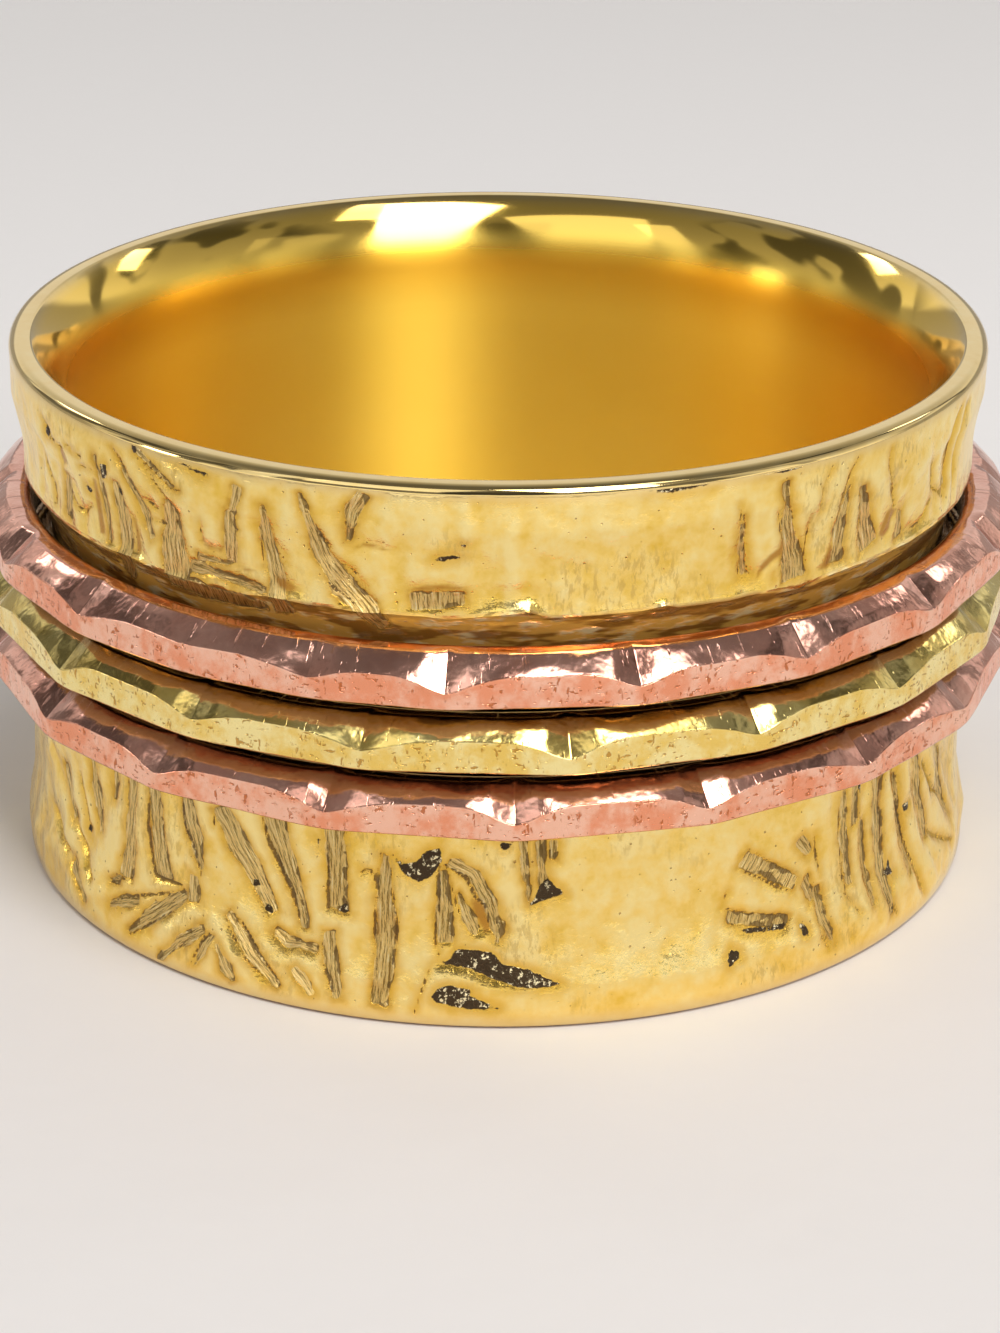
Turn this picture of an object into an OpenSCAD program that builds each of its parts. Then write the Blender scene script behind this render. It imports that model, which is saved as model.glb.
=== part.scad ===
// Spinner ring: a wide band with flared rims, and three loose rings that turn
// in a channel round its middle. The origin is the middle of the lower rim,
// +Z is the finger's axis, -Y is the front and all lengths are in millimetres.

/* [Band] */
// Radius of the finger hole
finger_r = 9.85; // [8:0.05:11]
// Metal between the finger hole and the floor of the channel
channel_wall = 0.55; // [0.4:0.05:1]
// Depth of the channel below the two struck walls
channel_depth = 0.57; // [0.5:0.01:0.8]
// Height of the lower struck wall, from the rim to the channel
lower_wall_h = 4.55; // [3.8:0.05:7]
// Height of the upper struck wall, from the channel to the rim
upper_wall_h = 2.95; // [2.9:0.05:6]

/* [Rims] */
// How far each rim stands out past its struck wall
rim_out = 0.23; // [0.15:0.01:0.5]
// Height over which a wall flares out to its rim
rim_flare_h = 1.8; // [1:0.05:1.9]
// Straight height of a rim below its flare
rim_h = 1; // [0.5:0.05:1]
// Width of the flat lip, rounded edges included
lip_w = 0.52; // [0.45:0.01:0.6]
// Depth of the polished flare inside each end of the finger hole
mouth_h = 1.7; // [1:0.05:2.4]
// Rounding of the lip's outer edge
lip_outer_round = 0.2; // [0.1:0.01:0.25]
// Rounding of the lip's inner edge
lip_inner_round = 0.12; // [0.08:0.01:0.2]

/* [Spinners] */
// Height of one spinner
spinner_h = 1.1; // [0.9:0.05:2]
// Gap between two spinners
spinner_gap = 0.375; // [0.2:0.005:0.6]
// Gap between the lowest spinner and the shoulder under it
shoulder_gap = 0.3; // [0.2:0.05:0.6]
// Height of the long cove above the highest spinner
cove_rise = 0.55; // [0.45:0.05:0.8]
// Play between a spinner's bore and the channel floor
spinner_play = 0.4; // [0.25:0.05:0.45]
// Thickness of a spinner, from its bore to its corners
spinner_t = 1.23; // [1:0.01:1.8]
// Width of the bevel along the upper edge, at the corners
bevel_w = 0.27; // [0.2:0.01:0.35]
// Drop of that bevel for each millimetre of its width
bevel_slope = 1.4; // [1:0.05:2]
// How far a notch reaches in at a corner
notch_in = 0.5; // [0.4:0.01:0.6]
// How far a notch reaches down at a corner
notch_down = 0.5; // [0.35:0.01:0.6]
// Half the width of a notch at its widest
notch_half_w = 1.5; // [1.2:0.05:1.6]
// Rise of a notch's two sides over that half width
notch_rise = 0.57; // [0.45:0.01:0.65]
// Rounding of the bore's upper edge
bore_round = 0.35; // [0.1:0.01:0.4]
// Small bevel along the lower outer edge
foot_bevel = 0.05; // [0.03:0.01:0.1]

/* [Hidden] */
$fn = 180;

// Radii, from the finger outward
channel_r = finger_r + channel_wall;
wall_r = channel_r + channel_depth;
rim_r = wall_r + rim_out;
lip_r = rim_r - lip_w;
bore_r = channel_r + spinner_play;
corner_r = bore_r + spinner_t;

// Heights, from the lower rim upward
bottom_z = lower_wall_h + shoulder_gap;
middle_z = bottom_z + spinner_h + spinner_gap;
top_z = middle_z + spinner_h + spinner_gap;
upper_wall_z = top_z + spinner_h + cove_rise;
band_h = upper_wall_z + upper_wall_h;

// Coves and flares are arcs that meet a straight wall square on
long_cove_h = 1.55;
long_cove_r = arc_through(channel_depth, long_cove_h);
rim_flare_r = arc_through(rim_out, rim_flare_h);
mouth_r = arc_through(lip_r - finger_r, mouth_h);

// Cutters run this far past what they cut
past = 1;

// Corners of the three spinners: angle from the front, and depth share of the notch there
bottom_corners = [
    [-56, 0.9], [-37.5, 1], [-17.5, 1], [2, 1.1], [22, 1], [42, 1], [61, 0.9], [81, 1], [100, 0.9],
    [121, 1.1], [141, 1], [160, 0.9], [181, 1], [200, 1.1], [221, 1], [240, 0.9], [262, 1], [283, 1]];
middle_corners = [
    [-52.5, 1], [-32.5, 0.9], [-13.5, 0.9], [7.5, 1.1], [27.5, 1], [46.5, 0.9], [66, 1], [86, 0.9], [105, 1],
    [125, 1.1], [146, 0.9], [165, 1], [185, 1], [206, 0.9], [226, 1.1], [245, 1], [266, 0.9], [287, 1]];
top_corners = [
    [-66, 0.9], [-48.5, 0.8], [-33, 0.1], [-19, 0.8], [-5, 1.1], [14.5, 1], [33, 0.9], [52, 0.8], [72, 1], [91, 0.9],
    [112, 1], [131, 1.1], [151, 0.9], [172, 1], [192, 1], [211, 0.9], [232, 1], [252, 1.1], [273, 0.9]];

// Radius of an arc that leaves a straight line square on and is off it by rise after run
function arc_through(rise, run) = (rise * rise + run * run) / (2 * rise);

// A point at a given radius, a given angle round from the front
function around(angle, radius) = [radius * sin(angle), -radius * cos(angle)];

module at_front_angle(angle) {
    rotate([0, 0, angle]) children();
}

// Outer outline of one end of the band, with its rim at height 0
module end_outline(height) {
    square([rim_r, rim_h]);
    square([wall_r, height]);
    difference() {
        square([rim_r, rim_h + rim_flare_h]);
        translate([wall_r + rim_flare_r, rim_h + rim_flare_h]) circle(r = rim_flare_r, $fn = 720);
    }
}

// What the mouth of the finger hole takes away, with the rim at height 0
module mouth_cut() {
    difference() {
        translate([0, -past]) square([lip_r, mouth_h + past]);
        translate([finger_r + mouth_r, mouth_h]) circle(r = mouth_r, $fn = 360);
    }
    translate([0, -past]) square([finger_r, mouth_h + past]);
}

// What rounds the lip's outer edge, with the rim at height 0
module lip_outer_cut() {
    difference() {
        translate([rim_r - lip_outer_round, -past]) square([lip_outer_round + past, lip_outer_round + past]);
        translate([rim_r - lip_outer_round, lip_outer_round]) circle(r = lip_outer_round, $fn = 64);
    }
}

// What rounds the lip's inner edge, where it meets the arc of the mouth
module lip_inner_cut() {
    drop = mouth_h - lip_inner_round;
    reach = mouth_r - lip_inner_round;
    across = sqrt(reach * reach - drop * drop);
    middle = [finger_r + mouth_r - across, lip_inner_round];
    toward = [-across / reach, -drop / reach];
    touch = middle + lip_inner_round * toward;
    outside = touch + lip_w * toward;
    difference() {
        polygon([middle, touch, outside, [outside[0], -past], [middle[0], -past]]);
        translate(middle) circle(r = lip_inner_round, $fn = 64);
    }
}

module end_cuts() {
    mouth_cut();
    lip_outer_cut();
    lip_inner_cut();
}

// Outline of the channel that the spinners turn in
module channel_cut() {
    floor_z = lower_wall_h + channel_depth;
    floor_top_z = upper_wall_z - long_cove_h;
    translate([channel_r, floor_z]) square([channel_depth + past, floor_top_z - floor_z]);
    translate([wall_r, floor_z]) circle(r = channel_depth, $fn = 120);
    translate([wall_r, lower_wall_h]) square([past, channel_depth]);
    intersection() {
        translate([channel_r + long_cove_r, floor_top_z]) circle(r = long_cove_r, $fn = 360);
        translate([channel_r, floor_top_z - past]) square([channel_depth + past, long_cove_h + past]);
    }
}

module band_section() {
    difference() {
        union() {
            end_outline(lower_wall_h + channel_depth);
            translate([0, band_h]) mirror([0, 1]) end_outline(upper_wall_h + long_cove_h);
            square([wall_r, band_h]);
        }
        translate([0, mouth_h]) square([finger_r, band_h - 2 * mouth_h]);
        end_cuts();
        translate([0, band_h]) mirror([0, 1]) end_cuts();
        channel_cut();
    }
}

module band() {
    color("goldenrod") rotate_extrude() band_section();
}

// Section of a spinner, with square room outside for its flat sides
module spinner_section() {
    outer = corner_r + past;
    bevel_r = corner_r - bevel_w;
    difference() {
        translate([bore_r, 0]) square([outer - bore_r, spinner_h]);
        polygon([[bevel_r, spinner_h], [outer, spinner_h - bevel_slope * (outer - bevel_r)],
            [outer + past, spinner_h + past], [bevel_r, spinner_h + past]]);
        polygon([[corner_r - foot_bevel, 0], [outer, outer - corner_r + foot_bevel],
            [outer + past, -past], [corner_r - foot_bevel, -past]]);
        difference() {
            translate([bore_r - past, spinner_h - bore_round]) square([bore_round + past, bore_round + past]);
            translate([bore_r + bore_round, spinner_h - bore_round]) circle(r = bore_round, $fn = 96);
        }
    }
}

// A notch filed across the upper edge at a corner: a shallow valley that falls outward
module corner_notch(share) {
    fall = atan2(notch_down, notch_in);
    reach = 2 * (notch_in + notch_down);
    translate([0, -corner_r, spinner_h - notch_down * share])
        rotate([fall, 0, 0]) rotate([90, 0, 0])
            linear_extrude(height = reach, center = true)
                polygon([[0, 0], [notch_half_w, notch_rise], [notch_half_w, notch_rise + past],
                    [-notch_half_w, notch_rise + past], [-notch_half_w, notch_rise]]);
}

// A spinner: flat sides between its corners, a bevel above them and a notch at each corner
module spinner(corners) {
    difference() {
        intersection() {
            linear_extrude(height = spinner_h) polygon([for (row = corners) around(row[0], corner_r)]);
            rotate_extrude() spinner_section();
        }
        for (row = corners) at_front_angle(row[0]) corner_notch(row[1]);
    }
}

module spinner_bottom() {
    color("lightsalmon") translate([0, 0, bottom_z]) spinner(bottom_corners);
}

module spinner_middle() {
    color("gold") translate([0, 0, middle_z]) spinner(middle_corners);
}

module spinner_top() {
    color("lightsalmon") translate([0, 0, top_z]) spinner(top_corners);
}

band();
spinner_bottom();
spinner_middle();
spinner_top();
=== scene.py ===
import math
import bpy
import mathutils
import numpy as np
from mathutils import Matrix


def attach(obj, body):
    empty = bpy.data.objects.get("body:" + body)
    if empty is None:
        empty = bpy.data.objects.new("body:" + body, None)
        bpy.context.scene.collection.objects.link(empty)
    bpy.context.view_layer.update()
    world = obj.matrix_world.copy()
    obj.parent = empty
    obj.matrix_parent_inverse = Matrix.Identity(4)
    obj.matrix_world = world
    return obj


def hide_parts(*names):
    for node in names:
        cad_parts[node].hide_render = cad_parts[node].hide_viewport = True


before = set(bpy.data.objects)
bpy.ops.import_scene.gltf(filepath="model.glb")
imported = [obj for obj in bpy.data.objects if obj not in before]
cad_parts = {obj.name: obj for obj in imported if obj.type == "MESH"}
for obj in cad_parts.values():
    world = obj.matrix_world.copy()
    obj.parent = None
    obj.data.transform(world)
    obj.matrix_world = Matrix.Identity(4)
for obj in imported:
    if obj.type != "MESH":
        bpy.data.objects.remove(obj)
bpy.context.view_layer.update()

# Sizes of the model, in millimetres; angles run from the front toward +X, in degrees
FINGER_R = 9.85
CHANNEL_R = 10.4
WALL_R = 10.97
RIM_R = 11.2
LIP_R = 10.68
BORE_R = 10.8
CORNER_R = 12.03
BAND_H = 12.4
LOWER_WALL_Z = 4.55
UPPER_WALL_Z = 9.45
COVE_Z = 7.9
RIM_H = 1.0
FLARE_H = 1.8
MOUTH_H = 1.7
LIP_ROUND = 0.2
LIP_FLAT_R = 10.95
MOUTH_EDGE_R = LIP_R + 0.06
MOUTH_EDGE_ROUND = 0.10
SHOULDER_R = 0.57
CHANNEL_MIDDLE_Z = 6.4
COVE_LOW_Z = 8.2
COVE_CARVED_Z = 8.4
BORE_ROUND = 0.35
SPINNER_H = 1.1
SPINNER_Z = {"bottom": 4.85, "middle": 6.325, "top": 7.8}
MM = 0.001
PER_METRE = 1000.0
MM_PER_DEGREE = WALL_R * math.pi / 180.0

# Columns of the band's skin, and of each side of a spinner; hidden and plain rows have a third of them
BAND_COLUMNS = 690
SIDE_COLUMNS = 54
COARSE_STEP = 3

# Rows of the band's skin over the lower wall, the cove, the upper wall, a mouth and the satin bore
LOWER_ROWS = 56
COVE_ROWS = 14
UPPER_ROWS = 37
MOUTH_ROWS = 16
BORE_ROWS = 26

# Heights between which the marks of each wall are turned upside down for their copies
LOWER_WALL = (0.0, 4.6)
UPPER_WALL = (9.2, 12.3)

# Depth of a mark's floor: as a share of the depth in its row, and for a fine line in millimetres
COMB_FLOOR = 0.60
PIT_FLOOR = 0.22
LINE_FLOOR = 0.05

# Distances from a mark that stand for far away, in millimetres
FAR_FROM_MARK = 0.4
FAR_FROM_EDGE = 0.6

# Gold of the mouths, where polished brass turns to satin
MOUTH_GOLD = (0.98, 0.66, 0.14, 1.0)

# Calm places of the struck walls: their angles and the width of one
CALM_ANGLES = (16.0, 164.0)
CALM_WIDTH = 10.0

# Spinners: reach of a notch's arch on the outer side and how much it varies, reach of its sharp valley, and
# reach of the crisp facet in it
NOTCH_REACH = 1.10
NOTCH_SWAY = 0.70
VALLEY_REACH = 0.55
FACET_REACH = 0.50

# Spinners: height of the flat side, its fall at a notch, width of the bevel, and how much wider a facet is
SIDE_H = 0.725
NOTCH_FALL = 0.31
BEVEL_W = 0.43
FACET_W = 0.10

# Soft boxes: name, azimuth from the front toward +X, elevation, width, height and power
LIGHT_DISTANCE = 0.30
LIGHTS = [
    ("key", 25.5, 48.0, 0.115, 0.25, 0.66),
    ("front_left", -29.0, 43.0, 0.16, 0.19, 0.09),
    ("top", 46.0, 63.0, 0.09, 0.07, 0.05),
    ("right", 66.0, 26.0, 0.13, 0.20, 0.02),
    ("left_tall", -55.0, 30.0, 0.05, 0.26, 0.03),
    ("left", -80.0, 12.0, 0.05, 0.04, 0.045),
    ("back_left", -132.0, 34.0, 0.04, 0.05, 0.025),
    ("back_right", 125.0, 34.0, 0.035, 0.05, 0.018),
]

# Studio surroundings: sine of the elevation, and brightness there
SKY = [(0.0, 0.94), (0.12, 0.86), (0.34, 0.70), (0.52, 0.46), (0.72, 0.30), (0.96, 0.15)]
SKY_STRENGTH = 1.27

# Angle and notch depth of each corner, as in the source of the solids
CORNERS = {
    "bottom": [
        (-56, 0.9), (-37.5, 1), (-17.5, 1), (2, 1.1), (22, 1), (42, 1), (61, 0.9), (81, 1), (100, 0.9),
        (121, 1.1), (141, 1), (160, 0.9), (181, 1), (200, 1.1), (221, 1), (240, 0.9), (262, 1), (283, 1)],
    "middle": [
        (-52.5, 1), (-32.5, 0.9), (-13.5, 0.9), (7.5, 1.1), (27.5, 1), (46.5, 0.9), (66, 1), (86, 0.9),
        (105, 1),
        (125, 1.1), (146, 0.9), (165, 1), (185, 1), (206, 0.9), (226, 1.1), (245, 1), (266, 0.9), (287, 1)],
    "top": [
        (-66, 0.9), (-48.5, 0.8), (-33, 0.1), (-19, 0.8), (-5, 1.1), (14.5, 1), (33, 0.9), (52, 0.8),
        (72, 1),
        (91, 0.9), (112, 1), (131, 1.1), (151, 0.9), (172, 1), (192, 1), (211, 0.9), (232, 1), (252, 1.1),
        (273, 0.9)],
}

# Comb strokes, along the comb and across it: depth, and points of angle, height and half width
LOWER_COMBS = [
    (.075, [(-47.0, 4.3, .15), (-47.4, 3.0, .16), (-48.3, 1.75, .21)]),
    (.030, [(-49.6, 1.55, .05), (-51.2, 1.42, .03)]),
    (.045, [(-50.4, 4.2, .08), (-51.0, 3.4, .06)]),
    (.080, [(-43.3, 4.3, .15), (-42.8, 3.2, .19), (-41.7, 2.1, .28)]),
    (.040, [(-37.0, 2.5, .16), (-36.9, 1.85, .12)]),
    (.070, [(-38.0, 4.3, .20), (-36.9, 3.5, .23), (-35.8, 2.6, .08)]),
    (.070, [(-32.8, 4.3, .20), (-30.8, 3.6, .28), (-28.4, 2.9, .24), (-26.0, 2.15, .12)]),
    (.085, [(-25.8, 4.4, .26), (-24.0, 3.4, .23), (-22.6, 2.6, .18), (-21.8, 1.9, .09)]),
    (.075, [(-18.3, 4.4, .23), (-18.0, 3.4, .19), (-18.0, 2.5, .22)]),
    (.075, [(-18.9, 1.97, .13), (-18.5, 1.2, .19), (-17.6, .42, .12)]),
    (.085, [(-12.2, 3.9, .06), (-12.4, 3.0, .19), (-12.3, 2.0, .23), (-12.4, 1.2, .19), (-12.9, .42, .17)]),
    (.060, [(-5.9, 3.6, .05), (-5.5, 2.7, .19), (-5.6, 2.0, .14)]),
    (.070, [(-4.9, 3.85, .10), (-2.4, 3.6, .14), (-.7, 3.0, .17), (.3, 2.3, .18), (.2, 1.95, .06)]),
    (.060, [(3.0, 4.4, .13), (3.5, 3.5, .09), (3.9, 2.9, .03)]),
    (.060, [(4.9, 4.4, .13), (5.3, 3.3, .10)]),
    (.055, [(6.5, 4.4, .10), (6.5, 3.95, .06)]),
    (.060, [(-51.2, .85, .06), (-48.5, 1.1, .12), (-45.8, 1.3, .12)]),
    (.075, [(-47.3, .5, .08), (-43.5, 1.1, .17), (-40.5, 1.6, .20), (-38.2, 1.95, .10)]),
    (.070, [(-41.6, .2, .06), (-38.5, .85, .13), (-35.0, 1.33, .10)]),
    (.055, [(-36.3, .35, .04), (-34.9, .9, .09), (-33.9, 1.25, .06)]),
    (.045, [(-33.0, 1.1, .05), (-31.6, .6, .16), (-30.6, .3, .10)]),
    (.090, [(-31.8, 1.85, .10), (-29.2, 1.35, .17), (-26.8, .8, .15), (-24.8, .47, .06)]),
    (.080, [(-25.5, 1.72, .07), (-24.0, 1.5, .14), (-22.5, 1.55, .10), (-20.2, 1.48, .10)]),
    (.060, [(38.3, 2.35, .12), (39.7, 1.8, .14)]),
    (.070, [(40.2, 2.05, .10), (40.8, 1.3, .15), (42.7, .58, .06)]),
    (.055, [(37.6, 3.35, .12), (39.2, 2.95, .10)]),
    (.060, [(44.3, 4.2, .10), (44.6, 3.0, .15), (45.6, 1.8, .08)]),
    (.060, [(46.6, 4.4, .14), (46.4, 3.2, .10)]),
    (.060, [(50.9, 4.3, .18), (51.0, 3.0, .20), (51.4, 1.8, .15), (53.2, .6, .10)]),
    (.055, [(60.0, 4.2, .12), (61.5, 2.9, .14), (64.0, 1.7, .08)]),
    (.060, [(55.0, 3.9, .07), (56.3, 2.6, .15), (58.6, 1.3, .09)]),
    (.060, [(47.8, 3.2, .05), (48.3, 2.2, .13), (49.6, 1.1, .10)]),
    (.055, [(66.5, 3.9, .10), (69.0, 2.6, .15), (72.5, 1.5, .07)]),
    (.050, [(-55.8, 4.3, .10), (-55.0, 3.3, .15), (-54.2, 2.4, .07)]),
    (.045, [(-23.0, 1.0, .06), (-21.8, .75, .11), (-20.6, .45, .05)]),
    (.050, [(-4.2, 3.1, .05), (-3.0, 2.55, .15), (-2.0, 2.15, .06)]),
    (.060, [(-63.5, 3.4, .16), (-60.5, 2.3, .13)]),
    (.060, [(-60.5, 1.2, .13), (-56.4, .6, .08)]),
]
LOWER_CROSS_COMBS = [
    (.085, [(29.4, 3.32, .21), (33.2, 2.85, .18), (36.9, 2.35, .16)]),
    (.085, [(27.4, 2.0, .11), (31.0, 1.8, .14), (35.3, 1.53, .11)]),
]
UPPER_COMBS = [
    (.045, [(-42.9, 12.15, .06), (-40.0, 11.85, .08), (-36.5, 11.48, .04)]),
    (.060, [(-46.9, 11.95, .03), (-44.2, 11.3, .10), (-42.6, 10.7, .13), (-41.5, 10.1, .10)]),
    (.075, [(-47.0, 11.2, .15), (-46.7, 10.4, .20), (-46.6, 9.5, .22), (-48.3, 8.85, .12)]),
    (.070, [(-38.0, 11.2, .10), (-38.5, 10.3, .30), (-38.2, 9.3, .33)]),
    (.070, [(-36.0, 9.78, .10), (-31.0, 9.74, .12), (-26.2, 9.6, .06)]),
    (.060, [(-34.9, 10.02, .06), (-30.5, 10.05, .07)]),
    (.055, [(-29.9, 11.3, .10), (-30.0, 10.6, .12), (-30.2, 10.1, .12)]),
    (.080, [(-25.9, 11.6, .08), (-25.6, 10.7, .15), (-24.6, 9.9, .18), (-24.2, 9.1, .25)]),
    (.045, [(-28.6, 11.9, .08), (-29.4, 11.3, .10)]),
    (.080, [(-21.2, 12.0, .03), (-20.2, 11.3, .10), (-19.0, 10.6, .18), (-16.8, 10.0, .28),
                    (-14.3, 9.5, .25), (-12.4, 9.0, .15)]),
    (.065, [(-14.0, 12.15, .17), (-15.3, 11.7, .16), (-16.0, 11.0, .07)]),
    (.050, [(27.2, 11.4, .03), (27.6, 10.6, .08), (28.4, 9.9, .14)]),
    (.060, [(32.6, 11.9, .05), (33.4, 10.9, .12), (34.8, 10.0, .32), (34.9, 9.6, .30)]),
    (.060, [(41.8, 11.6, .05), (41.4, 10.8, .12), (41.2, 9.7, .25)]),
    (.060, [(44.0, 11.3, .05), (45.3, 10.6, .14), (46.6, 9.8, .30)]),
    (.055, [(52.4, 10.3, .10), (52.6, 9.7, .15)]),
    (.050, [(-50.2, 11.6, .05), (-49.8, 10.6, .08), (-49.6, 9.6, .10)]),
    (.060, [(-57.8, 10.7, .10), (-59.0, 9.7, .14)]),
    (.050, [(62.8, 11.3, .08), (63.6, 10.2, .12)]),
]
UPPER_CROSS_COMBS = [
    (.060, [(-40.0, 9.28, .20), (-33.0, 9.22, .22), (-26.3, 9.2, .14)]),
    (.070, [(-9.2, 9.78, .16), (-6.5, 9.82, .20), (-3.6, 9.86, .12)]),
]

# Dark pits, as outlines of angle and height
LOWER_PITS = [
    (.12, [(-11.7, 3.96), (-10.3, 3.74), (-8.9, 3.78), (-7.6, 4.08), (-6.1, 4.16), (-6.0, 3.84),
            (-7.1, 3.50), (-8.6, 3.35), (-10.3, 3.52)]),
    (.13, [(-6.4, 1.50), (-4.8, 1.60), (-4.4, 1.85), (-1.5, 1.80), (-.3, 1.78), (1.0, 1.52), (3.8, 1.40),
            (7.4, 1.04), (5.0, 1.00), (2.3, 1.05), (-.5, 1.20), (-3.0, 1.42)]),
    (.13, [(-6.9, .75), (-6.3, .95), (-5.0, 1.06), (-3.8, .98), (-2.5, .96), (-2.8, .82), (-1.0, .65),
            (.5, .52), (-2.0, .48), (-4.5, .55), (-6.5, .62)]),
    (.07, [(.4, 4.35), (1.9, 4.32), (1.5, 4.20), (.8, 4.18)]),
    (.11, [(3.7, 2.84), (4.5, 3.05), (5.0, 3.32), (6.0, 3.48), (6.6, 3.30), (7.9, 3.10), (6.0, 3.00)]),
    (.09, [(26.9, 1.10), (27.6, 1.26), (28.5, 1.18), (28.6, 1.04), (27.2, .90)]),
    (.10, [(28.8, 1.66), (31.0, 1.62), (33.4, 1.52), (35.3, 1.50), (35.2, 1.38), (31.5, 1.48),
           (29.6, 1.55)]),
    (.08, [(37.0, 1.48), (38.2, 1.26), (38.4, 1.06), (37.5, 1.12)]),
    (.10, [(-29.0, 2.74), (-28.0, 2.78), (-27.9, 2.64), (-28.8, 2.60)]),
    (.10, [(-27.6, 2.30), (-26.4, 2.24), (-25.9, 2.08), (-27.0, 2.12)]),
    (.10, [(-17.4, 2.62), (-16.9, 2.62), (-16.4, 2.44), (-17.9, 2.46)]),
    (.09, [(47.0, 4.35), (47.7, 4.30), (47.5, 3.85), (47.1, 3.95)]),
    (.08, [(57.3, 2.95), (58.8, 2.88), (58.6, 2.70), (57.6, 2.74)]),
    (.08, [(52.2, 1.62), (53.2, 1.98), (53.4, 1.72), (54.3, 1.50), (53.0, 1.54)]),
    (.08, [(-57.1, 2.36), (-56.4, 2.32), (-56.7, 2.14), (-57.3, 2.20)]),
    (.08, [(-20.4, 4.10), (-19.9, 4.05), (-19.9, 3.78), (-20.2, 3.86)]),
    (.09, [(-58.5, 1.10), (-56.3, .68), (-56.3, .52), (-57.6, .74)]),
]
UPPER_PITS = [
    (.09, [(-6.9, 10.72), (-5.6, 10.84), (-3.4, 10.87), (-4.4, 10.79), (-5.8, 10.71)]),
    (.06, [(-3.8, 11.14), (-3.3, 11.14), (-3.3, 11.06), (-3.8, 11.06)]),
    (.07, [(-43.3, 12.22), (-42.6, 12.22), (-42.4, 12.06), (-43.0, 12.04)]),
    (.08, [(-37.0, 12.15), (-34.8, 12.13), (-32.2, 12.03), (-32.2, 11.97), (-34.6, 12.04)]),
    (.07, [(-46.9, 11.0), (-46.4, 11.2), (-46.2, 10.9), (-46.6, 10.8)]),
    (.07, [(-61.5, 11.70), (-60.6, 11.62), (-60.9, 11.40), (-61.6, 11.48)]),
    (.07, [(-49.3, 11.45), (-48.4, 11.50), (-48.6, 11.16), (-49.8, 11.08)]),
    (.06, [(-53.2, 10.78), (-52.2, 10.70), (-52.4, 10.60), (-53.4, 10.64)]),
    (.05, [(15.8, 12.19), (18.2, 12.24), (21.5, 12.22), (23.6, 12.17), (20.6, 12.14), (17.9, 12.12)]),
    (.05, [(28.5, 12.22), (31.5, 12.25), (34.5, 12.20), (31.8, 12.17)]),
    (.05, [(-2.5, 12.24), (1.0, 12.27), (4.8, 12.24), (1.5, 12.20)]),
]

# Deep places, sunk a little and painted deep orange-brown as shade: depth, and an outline of angle and height
LOWER_AMBER_SHADE = [
    (.05, [(-13.7, 2.5), (-13.3, 2.6), (-13.2, 2.0), (-13.5, 1.9)]),
    (.05, [(-11.4, 2.5), (-10.9, 2.3), (-11.0, 1.8), (-11.4, 2.0)]),
    (.05, [(-44.5, 3.3), (-43.9, 3.5), (-43.6, 2.6), (-44.1, 2.5)]),
    (.06, [(-2.9, 3.05), (-1.3, 2.9), (-.5, 2.3), (-1.0, 2.15), (-2.2, 2.6)]),
    (.05, [(51.1, 4.3), (51.9, 4.3), (51.9, 3.0), (52.4, 2.2), (51.9, 2.2), (51.5, 3.2)]),
]
UPPER_AMBER_SHADE = [
    (.08, [(-34.4, 10.45), (-33.4, 10.36), (-31.8, 10.36), (-31.0, 10.45), (-31.6, 10.26), (-33.6, 10.26)]),
    (.07, [(-29.9, 10.02), (-28.5, 10.03), (-26.8, 9.97), (-28.4, 9.94)]),
    (.07, [(-30.8, 9.82), (-28.0, 9.77), (-26.0, 9.68), (-28.2, 9.66)]),
    (.06, [(-15.5, 10.84), (-14.3, 11.0), (-12.9, 11.0), (-11.3, 10.86), (-13.0, 10.92), (-14.3, 10.92)]),
    (.08, [(-9.6, 10.02), (-7.4, 10.16), (-5.2, 10.19), (-3.0, 10.12), (-5.2, 10.08), (-7.6, 10.04)]),
    (.09, [(29.8, 9.72), (30.3, 10.1), (31.3, 10.3), (32.4, 10.4), (33.0, 10.66), (33.1, 10.25),
            (31.8, 10.15), (30.8, 9.95)]),
    (.07, [(38.6, 9.62), (39.5, 9.95), (40.2, 10.2), (40.7, 9.8), (40.0, 9.62)]),
    (.09, [(48.6, 9.92), (49.3, 10.35), (50.2, 10.52), (51.5, 10.36), (50.7, 10.2), (50.6, 9.92),
           (49.6, 9.8)]),
    (.06, [(-45.0, 10.5), (-44.4, 10.4), (-43.6, 9.7), (-44.6, 9.6)]),
    (.07, [(-25.0, 9.95), (-23.4, 9.9), (-21.9, 9.75), (-23.2, 9.65), (-24.6, 9.75)]),
    (.06, [(-51.6, 11.0), (-50.9, 11.0), (-50.6, 9.7), (-51.8, 9.7)]),
    (.07, [(-58.5, 11.35), (-57.6, 11.35), (-57.3, 11.0), (-58.2, 10.95)]),
]

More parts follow.
